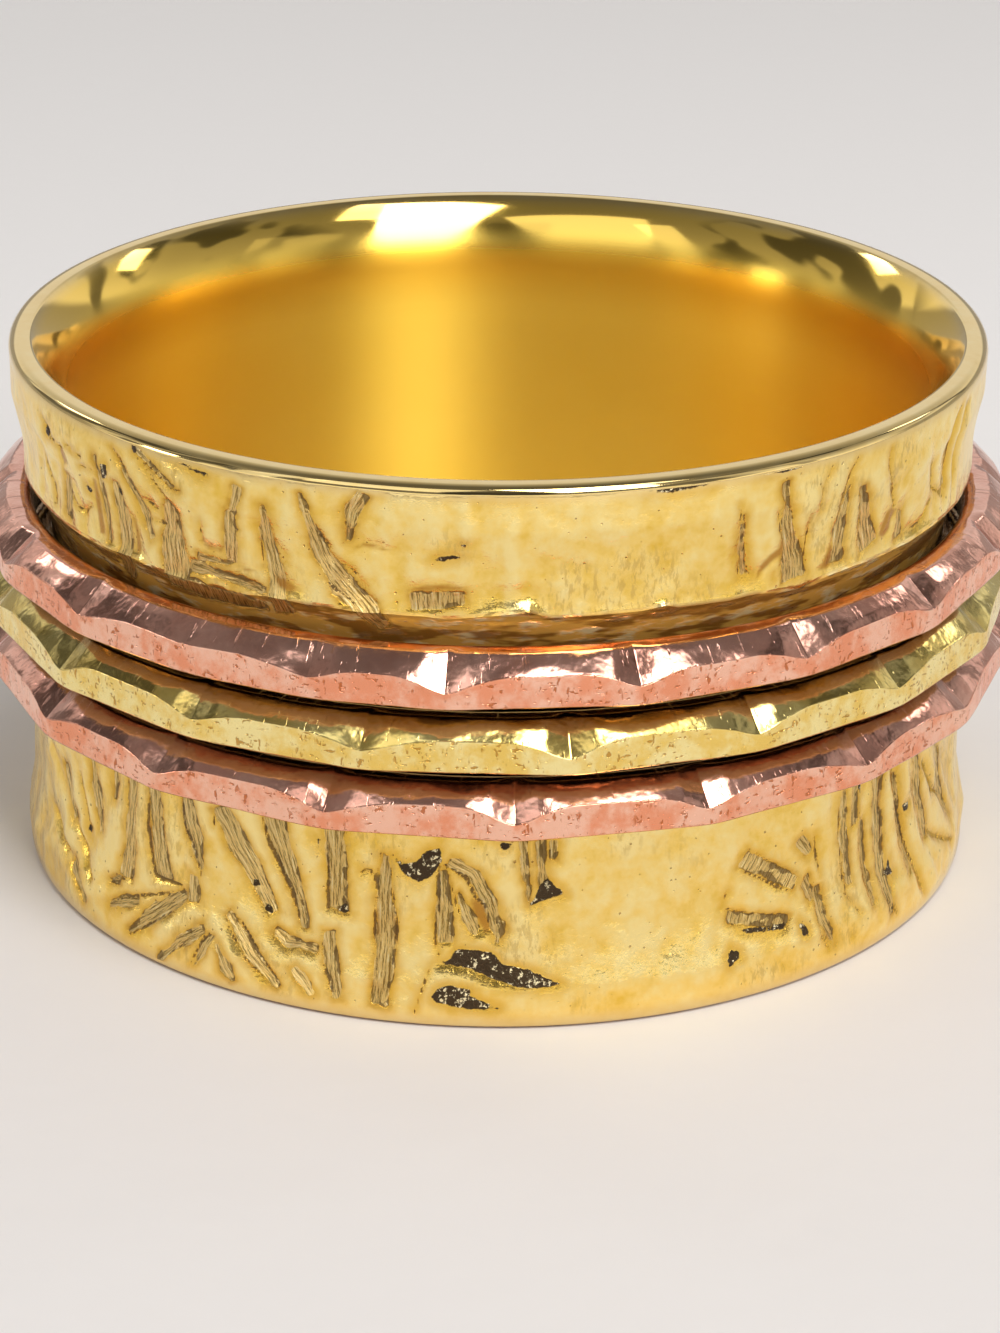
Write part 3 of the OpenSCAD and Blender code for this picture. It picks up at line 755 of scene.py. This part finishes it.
def make_band(materials):
    """The band as one closed skin: struck walls, polished cove, lips and mouths, and a satin bore."""
    angles = ring_columns(BAND_COLUMNS)
    rows = Rows(angles)
    bare = dict.fromkeys(("stroke", "pit", "line", "amber_shade"), FAR_FROM_MARK)
    bare.update(dict.fromkeys(("across", "along", "hollow_shade", "satin", "mouth", "cove", "ring"), 0.0))
    bare["polish"] = 1.0

    # Heights of the rows that are carved: lower wall, cove and upper wall
    shoulder = 0.02 * wall_noise(angles, angles * 0.0 + 3.0, 1.2, 51)
    edge_angles, edge_rise = np.array(COVE_EDGE, dtype=float).T
    edge = UPPER_WALL_Z + np.interp(angles, edge_angles, edge_rise)
    edge = edge + 0.02 * wall_noise(angles, angles * 0.0, 0.5, 52)
    heights = []
    for start, end, count in ((LIP_ROUND, LOWER_WALL_Z + shoulder, LOWER_ROWS),
                              (COVE_CARVED_Z, edge, COVE_ROWS), (edge, BAND_H - LIP_ROUND, UPPER_ROWS)):
        heights += [start + share * (end - start) for share in np.linspace(0.0, 1.0, count)]
    wall_start = LOWER_ROWS + COVE_ROWS
    heights = np.array(heights)
    relief, fields = carve(np.broadcast_to(angles, heights.shape), heights)

    def marks_of(row, polish):
        marks = {key: values[row] for key, values in fields.items()}
        marks["polish"] = polish
        return marks

    # Lower end, from the lip's outer edge up the struck wall
    # The outer rounding of the lower lip is painted dark toward the floor: a painted contact shadow
    for turn, contact_shadow in ((-90, -0.06), (-66, -0.05), (-44, 0.0), (-22, 0.3)):
        radius, height = arc(RIM_R - LIP_ROUND, LIP_ROUND, LIP_ROUND, turn, turn, 1)[0]
        rows.add(radius, height, marks={"amber_shade": contact_shadow})
    for row in range(LOWER_ROWS):
        height = heights[row]
        fade = smooth_step(0.15, 0.75, height)
        marks = marks_of(row, 1.0 - smooth_step(0.15, 0.45, height))
        last = row == LOWER_ROWS - 1
        rows.add(outer_radius(height) + fade * relief[row], height, marks=marks, sharp=last)

    # Channel, hidden behind the three spinners
    channel = arc(WALL_R, LOWER_WALL_Z + SHOULDER_R, SHOULDER_R, 255, 180, 6)
    channel += [(CHANNEL_R, CHANNEL_MIDDLE_Z), (CHANNEL_R, COVE_Z), (cove_radius(COVE_LOW_Z), COVE_LOW_Z)]
    for radius, height in channel:
        rows.add(radius, height, coarse=True)

    # Long cove, and the wavy edge where the struck wall starts
    for row in range(LOWER_ROWS, wall_start):
        height = heights[row]
        carved = np.minimum(0.0, relief[row] + 0.06)
        wave = 0.012 * wall_noise(angles, height, 0.7, 53, 0.5)
        edge_radius = cove_radius(height) + smooth_step(8.6, 9.0, height) * 0.7 * carved + wave
        marks = marks_of(row, smooth_step(-0.02, 0.06, fields["stroke"][row]))
        marks["cove"] = smooth_step(-0.04, 0.06, fields["stroke"][row])
        rows.add(edge_radius, height, marks=marks, sharp=row == wall_start - 1)
    step = edge_radius - outer_radius(edge) - relief[wall_start]
    for row in range(wall_start + 1, len(heights)):
        height = heights[row]
        fade = 1.0 - smooth_step(BAND_H - 0.75, BAND_H - 0.15, height)
        marks = marks_of(row, smooth_step(BAND_H - 0.45, BAND_H - 0.15, height))
        meet = step * np.exp(-(height - edge) / 0.12)
        rows.add(outer_radius(height) + fade * relief[row] + meet, height, marks=marks)
    for turn in (22, 44, 66, 90):
        rows.add(*arc(RIM_R - LIP_ROUND, BAND_H - LIP_ROUND, LIP_ROUND, turn, turn, 1)[0])

    def add_inner(radius, height, finish, mouth=0.0):
        depth = min(height, BAND_H - height)
        marks = {"satin": satin_share(depth), "ring": ring_shade_share(depth), "mouth": mouth}
        rows.add(radius, height, coarse=True, marks=marks, finish=finish)

    # Lip, mouth and bore
    mouth = [(radius, depth, smooth_step(0.05, 0.20, depth)) for radius, depth in mouth_points(MOUTH_ROWS)]
    soft = [int(satin_share(depth) > 0.0) for radius, depth, inward in mouth]
    for (radius, depth, inward), finish in zip(mouth, soft):
        add_inner(radius, BAND_H - depth, finish, inward)
    for height in np.linspace(BAND_H - MOUTH_H - 0.2, MOUTH_H + 0.2, BORE_ROWS):
        add_inner(FINGER_R, height, 1)
    for (radius, depth, inward), finish in zip(mouth[::-1], [1] + soft[::-1][:-1]):
        add_inner(radius, depth, finish, inward)
    rows.close()
    return rows.build("band_struck", materials, bare)


def corner_profile(corners, angles):
    """At each angle: the flat side's radius, the turns from and to its corners, and their notches' depths."""
    places, depths = np.array(sorted(corners), dtype=float).T
    ring = np.append(places, places[0] + 360.0)
    ring_depths = np.append(depths, depths[0])
    turned = (angles - places[0]) % 360.0 + places[0]
    side = np.clip(np.searchsorted(ring, turned, side="right") - 1, 0, len(places) - 1)
    before = turned - ring[side]
    after = ring[side + 1] - turned
    half = 0.5 * (ring[side + 1] - ring[side])
    flat = CORNER_R * np.cos(np.radians(half)) / np.cos(np.radians(before - half))
    return flat, before, after, ring_depths[side], ring_depths[side + 1]


def spinner_columns(corners):
    """Angles round a spinner, with a column on every corner and closer columns beside it."""
    places = sorted(corner[0] % 360.0 for corner in corners)
    share = np.arange(SIDE_COLUMNS) / SIDE_COLUMNS
    eased = share - 0.11 * np.sin(2.0 * np.pi * share)
    return np.concatenate([first + (second - first) * eased
                           for first, second in zip(places, places[1:] + [places[0] + 360.0])])


def make_spinner(name, level, corners, material, seed, bore_edge_shade):
    """One spinner: flat hammered sides, scalloped bevel, notched corners, flat top and rounded bore."""
    angles = spinner_columns(corners)
    rows = Rows(angles)
    flat, before, after, depth_before, depth_after = corner_profile(corners, angles)
    right_of = before * CORNER_R * math.pi / 180.0
    left_of = after * CORNER_R * math.pi / 180.0
    sway = np.random.default_rng(seed).uniform(0.0, 1.0, (2, len(corners)))
    side_index = np.arange(len(angles)) // SIDE_COLUMNS
    wide_right = NOTCH_REACH + NOTCH_SWAY * sway[0][side_index]
    wide_left = NOTCH_REACH + NOTCH_SWAY * sway[1][(side_index + 1) % len(corners)]

    def ripple(height, cell, order, stretch=1.0):
        return wall_noise(angles, height + np.zeros(angles.shape), cell, seed + order, stretch)

    # A notch is a sharp valley with a soft arch that swings out of it on each side
    def notch(away, wide):
        arch = smooth_step(0.0, 1.0, np.clip(1.0 - away / wide, 0.0, 1.0))
        return 0.70 * arch + 0.30 * np.clip(1.0 - away / VALLEY_REACH, 0.0, 1.0)

    fall = np.maximum(notch(right_of, wide_right) * depth_before, notch(left_of, wide_left) * depth_after)
    crisp = np.maximum(np.clip(1.0 - right_of / FACET_REACH, 0, 1) * depth_before,
                       np.clip(1.0 - left_of / FACET_REACH, 0, 1) * depth_after)

    # The sides are soft at their corners, and lightly dented
    corner_soft = 0.05 * np.exp(-np.minimum(right_of, left_of) / 0.22)
    face_r = flat - corner_soft + 0.016 * ripple(2.0, 0.9, 1) + 0.006 * ripple(3.0, 0.4, 2)
    face_top = SIDE_H + 0.035 * ripple(5.0, 1.1, 3) - NOTCH_FALL * fall
    edge_r = flat.min() - BEVEL_W - FACET_W * crisp + 0.02 * ripple(7.0, 1.0, 4)
    edge_top = SPINNER_H - 0.015 - 0.05 * crisp

    # The underside, painted dark as shade
    rows.add(BORE_R + 0.02, level, marks={"inner": 1.0})
    rows.add(face_r - 0.07, level, marks={"inner": 0.8})
    rows.add(face_r - 0.02, level + 0.015, marks={"face": 0.5})
    rows.add(face_r, level + 0.06, marks={"face": 1.0})
    for share in np.linspace(0.0, 1.0, 11)[1:-1]:
        up = 0.06 + share * (face_top - 0.03 - 0.06)
        push = 0.010 * ripple(up + 4.0, 0.5, 5, 0.8)
        rows.add(face_r + push * 4.0 * share * (1.0 - share), level + up, marks={"face": 1.0})
    rows.add(face_r, level + face_top - 0.015, marks={"face": 1.0})
    rows.add(face_r - 0.006, level + face_top, marks={"face": 0.5}, sharp=True)

    # The bevel, bent a little more toward the top, and a top that rises gently to the bore; their upper part
    # is painted dark as shade
    start_r = face_r - 0.012
    bent_over = 1.0 - np.minimum(crisp, 1.0)
    for share in (0.03, 0.12, 0.24, 0.38, 0.52, 0.66, 0.80, 0.92, 1.0):
        rise = share + 0.22 * bent_over * share * (1.0 - share)
        dent = 0.012 * ripple(9.0 + 2.0 * share, 0.8, 6) * 4.0 * share * (1.0 - share)
        height = face_top + 0.006 + rise * (edge_top - face_top - 0.006) + dent
        dark = 0.6 * bore_edge_shade * smooth_step(0.45, 1.0, share)
        rows.add(start_r + share * (edge_r - start_r), level + height, marks={"inner": dark})
    for share in (0.25, 0.6, 1.0):
        height = edge_top + (SPINNER_H - edge_top) * (1.0 - (1.0 - share) ** 1.6)
        dark = bore_edge_shade * (0.6 + 0.4 * smooth_step(0.0, 0.7, share))
        rows.add(edge_r + share * (BORE_R + BORE_ROUND - edge_r), level + height, marks={"inner": dark})
    # The rounded bore edge and the bore, painted dark as shade
    for radius, height in arc(BORE_R + BORE_ROUND, SPINNER_H - BORE_ROUND, BORE_ROUND, 90, 180, 8)[1:]:
        rows.add(radius, level + height, marks={"inner": bore_edge_shade})
    rows.add(BORE_R, level + 0.4, marks={"inner": 1.0})
    rows.add(BORE_R, level + 0.02, marks={"inner": 1.0})
    rows.close()
    return rows.build(name, [material], {"face": 0.0, "inner": 0.0})


class Value:
    """A node's output, written in sums and products like a number."""

    def __init__(self, nodes, socket):
        self.nodes = nodes
        self.socket = socket

    def __add__(self, other):
        return self.nodes.math("ADD", self, other)

    def __sub__(self, other):
        return self.nodes.math("SUBTRACT", self, other)

    def __rsub__(self, other):
        return self.nodes.math("SUBTRACT", other, self)

    def __mul__(self, other):
        return self.nodes.math("MULTIPLY", self, other)


class Nodes:
    """A short way to write the nodes and links of a material or a world."""

    def __init__(self, owner, output="ShaderNodeOutputMaterial"):
        owner.use_nodes = True
        self.owner = owner
        self.tree = owner.node_tree
        self.tree.nodes.clear()
        self.output = self.make(output)

    def make(self, kind, **settings):
        node = self.tree.nodes.new(kind)
        for key, value in settings.items():
            setattr(node, key, value)
        return node

    def put(self, node, socket, value):
        if isinstance(value, Value):
            self.tree.links.new(value.socket, node.inputs[socket])
        else:
            node.inputs[socket].default_value = value

    def made(self, kind, inputs, result, **settings):
        """A new node with its inputs filled, as the value of its result."""
        node = self.make(kind, **settings)
        for socket, value in inputs.items():
            self.put(node, socket, value)
        return Value(self, node.outputs[result])

    def attribute(self, name):
        return self.made("ShaderNodeAttribute", {}, "Fac", attribute_name=name)

    def math(self, operation, first, second=0.0, clamp=False):
        return self.made("ShaderNodeMath", {0: first, 1: second}, 0, operation=operation, use_clamp=clamp)

    def most(self, first, second):
        return self.math("MAXIMUM", first, second)

    def least(self, first, second):
        return self.math("MINIMUM", first, second)

    def span(self, value, low, high, to_low=0.0, to_high=1.0):
        """A soft step from one value to another, as a value goes from low to high."""
        inputs = {"Value": value, "From Min": low, "From Max": high, "To Min": to_low, "To Max": to_high}
        return self.made("ShaderNodeMapRange", inputs, "Result", interpolation_type="SMOOTHSTEP")

    def blend(self, share, first, second):
        inputs = {"Factor": share, "A": first, "B": second}
        return self.made("ShaderNodeMix", inputs, 2, data_type="RGBA")

    def ramp(self, value, stops):
        """A colour for each value, from stops of position and colour."""
        node = self.make("ShaderNodeValToRGB")
        self.put(node, 0, value)
        elements = node.color_ramp.elements
        elements[0].position = stops[0][0]
        elements[1].position = stops[-1][0]
        for stop in stops[1:-1]:
            elements.new(stop[0])
        for element, (position, colour) in zip(elements, stops):
            element.position = position
            element.color = colour
        return Value(self, node.outputs["Color"])

    def noise(self, place, scale, detail=2.0, rough=0.5):
        inputs = {"Vector": place, "Scale": scale, "Detail": detail, "Roughness": rough}
        return self.made("ShaderNodeTexNoise", inputs, "Fac")

    def place(self, scale=PER_METRE, kind="Object"):
        """Place on the piece, or the way out to the surroundings, times a scale."""
        scales = scale if isinstance(scale, tuple) else (scale, scale, scale)
        inputs = {"Vector": self.made("ShaderNodeTexCoord", {}, kind), "Scale": scales}
        return self.made("ShaderNodeMapping", inputs, "Vector")

    def parts(self, vector):
        node = self.make("ShaderNodeSeparateXYZ")
        self.put(node, 0, vector)
        return [Value(self, node.outputs[axis]) for axis in "XYZ"]

    def joined(self, **axes):
        return self.made("ShaderNodeCombineXYZ", axes, "Vector")

    def unrolled(self, stretch_round, stretch_up):
        """Place on the unrolled wall in millimetres: round the ring, and up."""
        x, y, z = self.parts(self.made("ShaderNodeTexCoord", {}, "Object"))
        turn = self.math("ARCTAN2", x, y * -1.0)
        return self.joined(X=turn * (WALL_R * stretch_round), Y=z * (PER_METRE * stretch_up))

    def metal(self, colour, rough, height, distance, metallic=1.0):
        """The surface itself, with a bump of some distance in metres."""
        node = self.make("ShaderNodeBsdfPrincipled")
        bump = {"Height": height, "Distance": distance, "Strength": 1.0}
        normal = self.made("ShaderNodeBump", bump, "Normal")
        inputs = {"Base Color": colour, "Roughness": rough, "Metallic": metallic, "Normal": normal}
        for socket, value in inputs.items():
            self.put(node, socket, value)
        self.tree.links.new(node.outputs["BSDF"], self.output.inputs["Surface"])
        return node


def struck_brass():
    """Brass of the walls, cove, lips and mouths: pale yellow, combed and oxidised in the struck marks."""
    n = Nodes(bpy.data.materials.new("band_brass_struck"))
    place = n.place()
    polish = n.attribute("polish")
    rugged = n.math("SUBTRACT", 1.0, polish, clamp=True)
    ragged = (n.noise(place, 7.0, 4.0, 0.65) - 0.5) * 0.10
    stroke_gap = n.attribute("stroke")
    pit_gap = n.attribute("pit")
    line_gap = n.attribute("line")
    stroke = stroke_gap + ragged * 0.6
    across = n.attribute("across")
    inside = n.span(stroke, 0.015, -0.025)
    in_pit = n.span(pit_gap + ragged, 0.012, -0.012)
    in_line = n.span(line_gap + ragged * 0.8, 0.010, -0.014)
    in_amber_shade = n.span(n.attribute("amber_shade"), 0.05, -0.06)

    # Broken dark edges, partly oxide and partly a painted shadow on one flank: a wide one down one flank of
    # each stroke, a faint thin one down the other
    patches = n.noise(place, 2.6, 2.0, 0.5)
    reach = n.span(patches, 0.46, 0.70) * -0.08 + 0.012
    reach = n.span(across, -0.03, 0.03) * n.span(patches, 0.40, 0.62, 0.0, -0.04) + reach
    edge_dark = n.span(stroke - reach, -0.015, 0.015) * n.span(stroke, 0.02, 0.0)
    edge_dark = edge_dark * n.span(patches, 0.44, 0.52) * n.span(across, -0.04, 0.02, 0.30, 1.0)

    # Fine fibres left by the comb, drawn out along each stroke
    fibre = n.noise(n.joined(X=across * 19.0, Y=n.attribute("along") * 1.3), 1.0, 4.0, 0.75)

    # Yellow with painted shade, deeper in the hollows, and painted highlight, paler on the ridges, then the
    # polished, mouth and cove colours
    mottle = n.noise(place, 2.7, 3.0, 0.6)
    mixed = n.noise(place, 0.55, 3.0, 0.55) * 0.60 + mottle * 0.65 - 0.125 - n.attribute("hollow_shade") * 0.12
    colour = n.ramp(mixed, [(0.29, (0.88, 0.57, 0.09, 1.0)), (0.47, (0.98, 0.70, 0.20, 1.0)),
                            (0.66, (1.0, 0.80, 0.33, 1.0))])
    colour = n.blend(polish * 0.7, colour, (0.77, 0.58, 0.28, 1.0))
    colour = n.blend(n.attribute("mouth"), colour, MOUTH_GOLD)
    cove = n.attribute("cove")
    # The cove: orange gold with pale gold drops as painted highlights, and dark brown patches as painted
    # shade, both scattered at random
    drops = n.span(n.noise(n.unrolled(0.8, 2.2), 1.6, 3.0, 0.6), 0.48, 0.66)
    cove_shade_patches = n.span(n.noise(n.unrolled(0.30, 1.3), 1.6, 3.0, 0.62), 0.47, 0.57)
    cove_tone = n.blend(drops, (1.0, 0.60, 0.12, 1.0), (1.0, 0.86, 0.46, 1.0))
    cove_tone = n.blend(cove_shade_patches * 0.85, cove_tone, (0.30, 0.12, 0.015, 1.0))
    colour = n.blend(cove, colour, cove_tone)

    # Painted shade: deeper gold toward every mark, and brown down the flanks of the strokes
    nearest = n.least(n.least(stroke_gap, pit_gap), line_gap + 0.05)
    mark_shade = n.span(nearest, 0.30, 0.02) * rugged
    colour = n.blend(mark_shade * 0.66, colour, (0.78, 0.46, 0.06, 1.0))
    flank_shade = n.span(stroke, 0.13, 0.01) * n.span(stroke, -0.02, 0.01)
    colour = n.blend(flank_shade * n.span(patches, 0.38, 0.62, 0.15, 0.75), colour, (0.60, 0.33, 0.05, 1.0))

    # Worn patches with short upright scratches
    worn = n.span(n.noise(place, 0.42, 2.0), 0.50, 0.62)
    hatch = n.span(n.noise(n.unrolled(7.5, 2.4), 1.0, 4.0, 0.7), 0.49, 0.60)
    colour = n.blend(worn * hatch * rugged * 0.50, colour, (0.58, 0.37, 0.10, 1.0))

    # Small dark specks, some in rows
    speck_gap = n.made("ShaderNodeTexVoronoi", {"Vector": place, "Scale": 4.2}, "Distance", feature="F1")
    speck_size = n.noise(place, 1.1, 1.0) * 0.26 + -0.07
    speck = n.span(speck_gap - speck_size, 0.03, -0.02) * rugged
    colour = n.blend(speck * 0.65, colour, (0.26, 0.14, 0.04, 1.0))

    # The floors of the strokes, the painted shade of the deep places, dark edges, lines and pits
    groove = n.span(fibre, 0.51, 0.43)
    glint = n.span(fibre, 0.55, 0.62)
    comb_tone = n.blend(groove, (0.88, 0.69, 0.33, 1.0), (0.30, 0.19, 0.05, 1.0))
    comb_tone = n.blend(glint, comb_tone, (1.0, 0.90, 0.54, 1.0))
    lined = inside * n.span(n.most(groove, glint * 0.6), 0.0, 1.0, 0.55, 0.95)
    colour = n.blend(lined, colour, comb_tone)
    colour = n.blend(in_amber_shade * 0.86, colour, (0.48, 0.22, 0.035, 1.0))
    colour = n.blend(edge_dark * 0.80, colour, (0.17, 0.095, 0.022, 1.0))
    colour = n.blend(in_line * 0.85, colour, (0.14, 0.075, 0.022, 1.0))
    flecks = n.span(n.noise(place, 6.5, 4.0, 0.75), 0.56, 0.61)
    colour = n.blend(in_pit, colour, n.blend(flecks, (0.055, 0.032, 0.012, 1.0), (0.95, 0.82, 0.50, 1.0)))

    dark = n.most(n.most(in_pit, edge_dark * 0.9), in_line)
    rough = n.span(rugged, 0.0, 1.0, 0.07, 0.17) + mottle * rugged * 0.10 + inside * 0.14
    rough = n.math("ADD", rough, dark * 0.22, clamp=True) + cove * 0.05
    metallic = 1.0 - dark * 0.35 - cove * 0.50

    scratches = n.span(n.noise(n.unrolled(1.2, 9.0), 1.6, 3.0, 0.6), 0.60, 0.72)
    height = n.noise(place, 7.0, 4.0, 0.6) * rugged * 0.32 + mottle * rugged * 1.1
    height = height + (fibre - 0.5) * inside * 2.4 + drops * cove * 0.5
    height = height - scratches * rugged * 0.05 - dark * 0.8 - speck * 0.35
    height = height + in_pit * n.noise(place, 9.0, 3.0, 0.7) * 2.2
    n.metal(colour, rough, height, 0.000030, metallic)
    return n.owner


def satin_brass():
    """Brass of the finger hole: satin, brushed round the ring."""
    n = Nodes(bpy.data.materials.new("band_brass_satin"))
    place = n.place()
    streak = n.noise(n.unrolled(0.06, 14.0), 1.5, 4.0, 0.6)
    satin = n.attribute("satin")
    colour = n.blend(n.noise(place, 0.35, 2.0), (0.95, 0.62, 0.07, 1.0), (0.98, 0.68, 0.10, 1.0))
    colour = n.blend(satin, MOUTH_GOLD, colour)
    # A deeper gold band below each lip, painted shade
    colour = n.blend(n.attribute("ring") * 0.75, colour, (0.80, 0.43, 0.03, 1.0))
    rough = satin * 0.38 + streak * satin * 0.06 + 0.06
    height = (streak * 0.35 + n.noise(place, 1.3, 2.0) * 0.4) * satin
    shader = n.metal(colour, rough, height, 0.000006)
    n.put(shader, "Anisotropic", 0.85)
    n.put(shader, "Tangent", n.joined(Z=1.0))
    return n.owner


def spinner_metal(name, pale, deep, mark, face_pale, face_deep):
    """Metal of a spinner: speckled satin sides, and a polished bevel and top with a few scratches, painted
    dark as shade toward the bore and underneath.
    """
    n = Nodes(bpy.data.materials.new(name))
    place = n.place()
    face = n.attribute("face")
    polished = n.blend(n.span(n.noise(place, 0.8, 3.0, 0.6), 0.35, 0.65), pale, deep)
    cloudy = n.noise(place, 0.9, 2.0) * 0.55 + n.noise(place, 3.4, 4.0, 0.65) * 0.45
    side = n.blend(n.span(cloudy, 0.40, 0.60), face_pale, face_deep)

    # Short orange ticks, lying both ways
    upright_ticks = n.span(n.noise(n.unrolled(9.0, 3.6), 1.0, 2.0, 0.6), 0.60, 0.66)
    level_ticks = n.span(n.noise(n.unrolled(4.2, 9.5), 1.0, 2.0, 0.6), 0.60, 0.66)
    tick = n.most(upright_ticks, level_ticks) * n.span(n.noise(place, 2.3, 2.0), 0.40, 0.56) * face
    colour = n.blend(face, polished, n.blend(tick * 0.85, side, mark))
    # Painted shade toward the bore and on the underside
    colour = n.blend(n.attribute("inner") * 0.85, colour, (0.12, 0.078, 0.070, 1.0))

    scratch = n.span(n.noise(n.unrolled(7.0, 1.5), 1.4, 3.0, 0.6), 0.62, 0.70)
    rough = n.span(face, 0.0, 1.0, 0.15, 0.25) + scratch * 0.06
    height = n.noise(place, 6.0, 4.0, 0.65) * n.span(face, 0.0, 1.0, 0.05, 0.34)
    height = height - tick * 0.5 - scratch * 0.22 + n.noise(place, 1.3, 3.0) * 1.5
    n.metal(colour, rough, height, 0.000024)
    return n.owner


def pale_floor():
    """A plain pale floor that is part of the stage, painted paler behind the ring as light."""
    n = Nodes(bpy.data.materials.new("floor_pale"))
    cloudy = n.noise(n.place(9.0), 1.0, 2.0)
    colour = n.blend(cloudy, (0.81, 0.775, 0.755, 1.0), (0.84, 0.805, 0.785, 1.0))
    # Painted light: paler behind the ring
    back = n.parts(n.place(1.0))[1]
    colour = n.blend(n.span(back, -0.010, 0.030), colour, (0.95, 0.915, 0.895, 1.0))
    shader = n.metal(colour, 0.75, n.noise(n.place(900.0), 1.0, 2.0), 0.00002, 0.0)
    n.put(shader, "Specular IOR Level", 0.2)
    mesh = bpy.data.meshes.new("floor")
    count = 96
    radius = 1.2
    turns = [2 * math.pi * k / count for k in range(count)]
    ring = [(radius * math.cos(turn), radius * math.sin(turn), 0.0) for turn in turns]
    mesh.from_pydata(ring, [], [tuple(range(count))])
    mesh.materials.append(n.owner)
    floor = bpy.data.objects.new("floor", mesh)
    bpy.context.scene.collection.objects.link(floor)


def set_world():
    """Soft studio surroundings: pale round the sides, darker overhead."""
    world = bpy.data.worlds.new("studio")
    bpy.context.scene.world = world
    n = Nodes(world, "ShaderNodeOutputWorld")
    x, y, up = n.parts(n.made("ShaderNodeTexCoord", {}, "Generated"))
    across = n.math("ABSOLUTE", x)
    sky = n.ramp(up, [(place, (level, level * 0.985, level * 0.96, 1.0)) for place, level in SKY])

    # A dark upright gap in front, and a back that is a little darker
    gap = n.span(across, 0.17, 0.23, 1.0, 0.0) * n.span(y, -0.20, -0.40)
    gap = gap * n.span(up, 0.16, 0.30) * n.span(up, 0.72, 0.82, 1.0, 0.0)
    back = n.span(y, 0.20, 0.80, 0.35, 0.0) * n.span(up, 0.08, 0.25)

    # Broken lights and darks at the left and right, and darker low bands in front and behind
    broken = n.noise(n.place((5.0, 5.0, 1.2), "Generated"), 1.0, 1.0)
    sides = n.span(across, 0.42, 0.70, 0.0, 0.74) * n.span(broken, 0.46, 0.56) * n.span(up, 0.04, 0.14)
    low_front = n.span(y, -0.30, -0.55, 0.0, 0.70) * n.span(up, 0.15, 0.20) * n.span(up, 0.46, 0.56, 1.0, 0.0)
    low_back = n.span(y, 0.0, 0.30) * n.span(up, 0.21, 0.28, 0.60, 0.18) * n.span(up, 0.45, 0.60, 1.0, 0.0)
    side = n.most(n.most(back, sides), n.most(low_front, low_back))
    shade = n.span(gap, 0.0, 1.0, 1.0, 0.28) * n.span(side, 0.0, 1.0, 1.0, 0.0)
    shaded = n.made("ShaderNodeVectorMath", {0: sky, "Scale": shade}, "Vector", operation="SCALE")
    light = n.made("ShaderNodeBackground", {"Color": shaded, "Strength": SKY_STRENGTH}, "Background")
    n.put(n.output, "Surface", light)


def add_light(name, azimuth, elevation, width, height, power):
    """A soft box that looks at the ring from an azimuth counted from the front toward +X."""
    light = bpy.data.lights.new(name, "AREA")
    light.shape = "RECTANGLE"
    light.size = width
    light.size_y = height
    light.energy = power
    box = bpy.data.objects.new(name, light)
    turn = math.radians(azimuth)
    rise = math.radians(elevation)
    flat = LIGHT_DISTANCE * math.cos(rise)
    box.location = (flat * math.sin(turn), -flat * math.cos(turn), 0.006 + LIGHT_DISTANCE * math.sin(rise))
    box.rotation_euler = (math.pi / 2 - rise, 0.0, turn)
    box.visible_camera = False
    bpy.context.scene.collection.objects.link(box)


def set_camera():
    """The camera of the photograph."""
    camera = bpy.data.cameras.new("camera")
    camera.sensor_fit = "HORIZONTAL"
    camera.sensor_width = 36.0
    camera.lens = 132.26
    camera.clip_start = 0.005
    camera.clip_end = 10.0
    viewer = bpy.data.objects.new("camera", camera)
    pitch = math.radians(22.87)
    roll = math.radians(0.33)
    back = np.array((0.0, -math.cos(pitch), math.sin(pitch)))
    right = np.array((1.0, 0.0, 0.0))
    up = np.cross(back, right)
    right_rolled = math.cos(roll) * right + math.sin(roll) * up
    up_rolled = -math.sin(roll) * right + math.cos(roll) * up

    # Distance and shifts were fitted in outer radii of the rim, from the middle of the band
    spot = (back * 7.76 + right_rolled * 0.006 - up_rolled * 0.200) * RIM_R * MM
    spot = spot + np.array((0.0, 0.0, 0.5 * BAND_H * MM))
    matrix = [[right_rolled[k], up_rolled[k], back[k], spot[k]] for k in range(3)] + [[0.0, 0.0, 0.0, 1.0]]
    viewer.matrix_world = mathutils.Matrix(matrix)
    bpy.context.scene.collection.objects.link(viewer)
    bpy.context.scene.camera = viewer


set_camera()
struck = struck_brass()
satin = satin_brass()
copper = spinner_metal(
    "copper_worn", (0.93, 0.52, 0.40, 1.0), (0.84, 0.42, 0.31, 1.0), (0.55, 0.15, 0.04, 1.0),
    (1.0, 0.58, 0.42, 1.0), (0.92, 0.36, 0.20, 1.0))
brass = spinner_metal(
    "spinner_brass_worn", (0.92, 0.74, 0.28, 1.0), (0.83, 0.60, 0.17, 1.0), (0.55, 0.27, 0.04, 1.0),
    (1.0, 0.84, 0.38, 1.0), (0.92, 0.64, 0.16, 1.0))

band = make_band([struck, satin])
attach(band, "band")
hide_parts("band")

# Each spinner: level, metal, slot, seed, and how much painted shade darkens its upper bevel, top and rounded
# bore edge
for level, metal, slot, seed, bore_edge_shade in (("bottom", copper, "copper", 61, 1.0),
                                          ("middle", brass, "spinner_brass", 71, 1.0),
                                          ("top", copper, "copper", 81, 0.1)):
    name = "spinner_" + level + "_worn"
    spinner = make_spinner(name, SPINNER_Z[level], CORNERS[level], metal, seed, bore_edge_shade)
    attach(spinner, level + "_spinner")
    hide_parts("spinner_" + level)

pale_floor()
set_world()
for light in LIGHTS:
    add_light(*light)

bpy.context.scene.view_settings.view_transform = "Standard"
bpy.context.scene.view_settings.look = "None"
bpy.context.scene.view_settings.exposure = 0.0
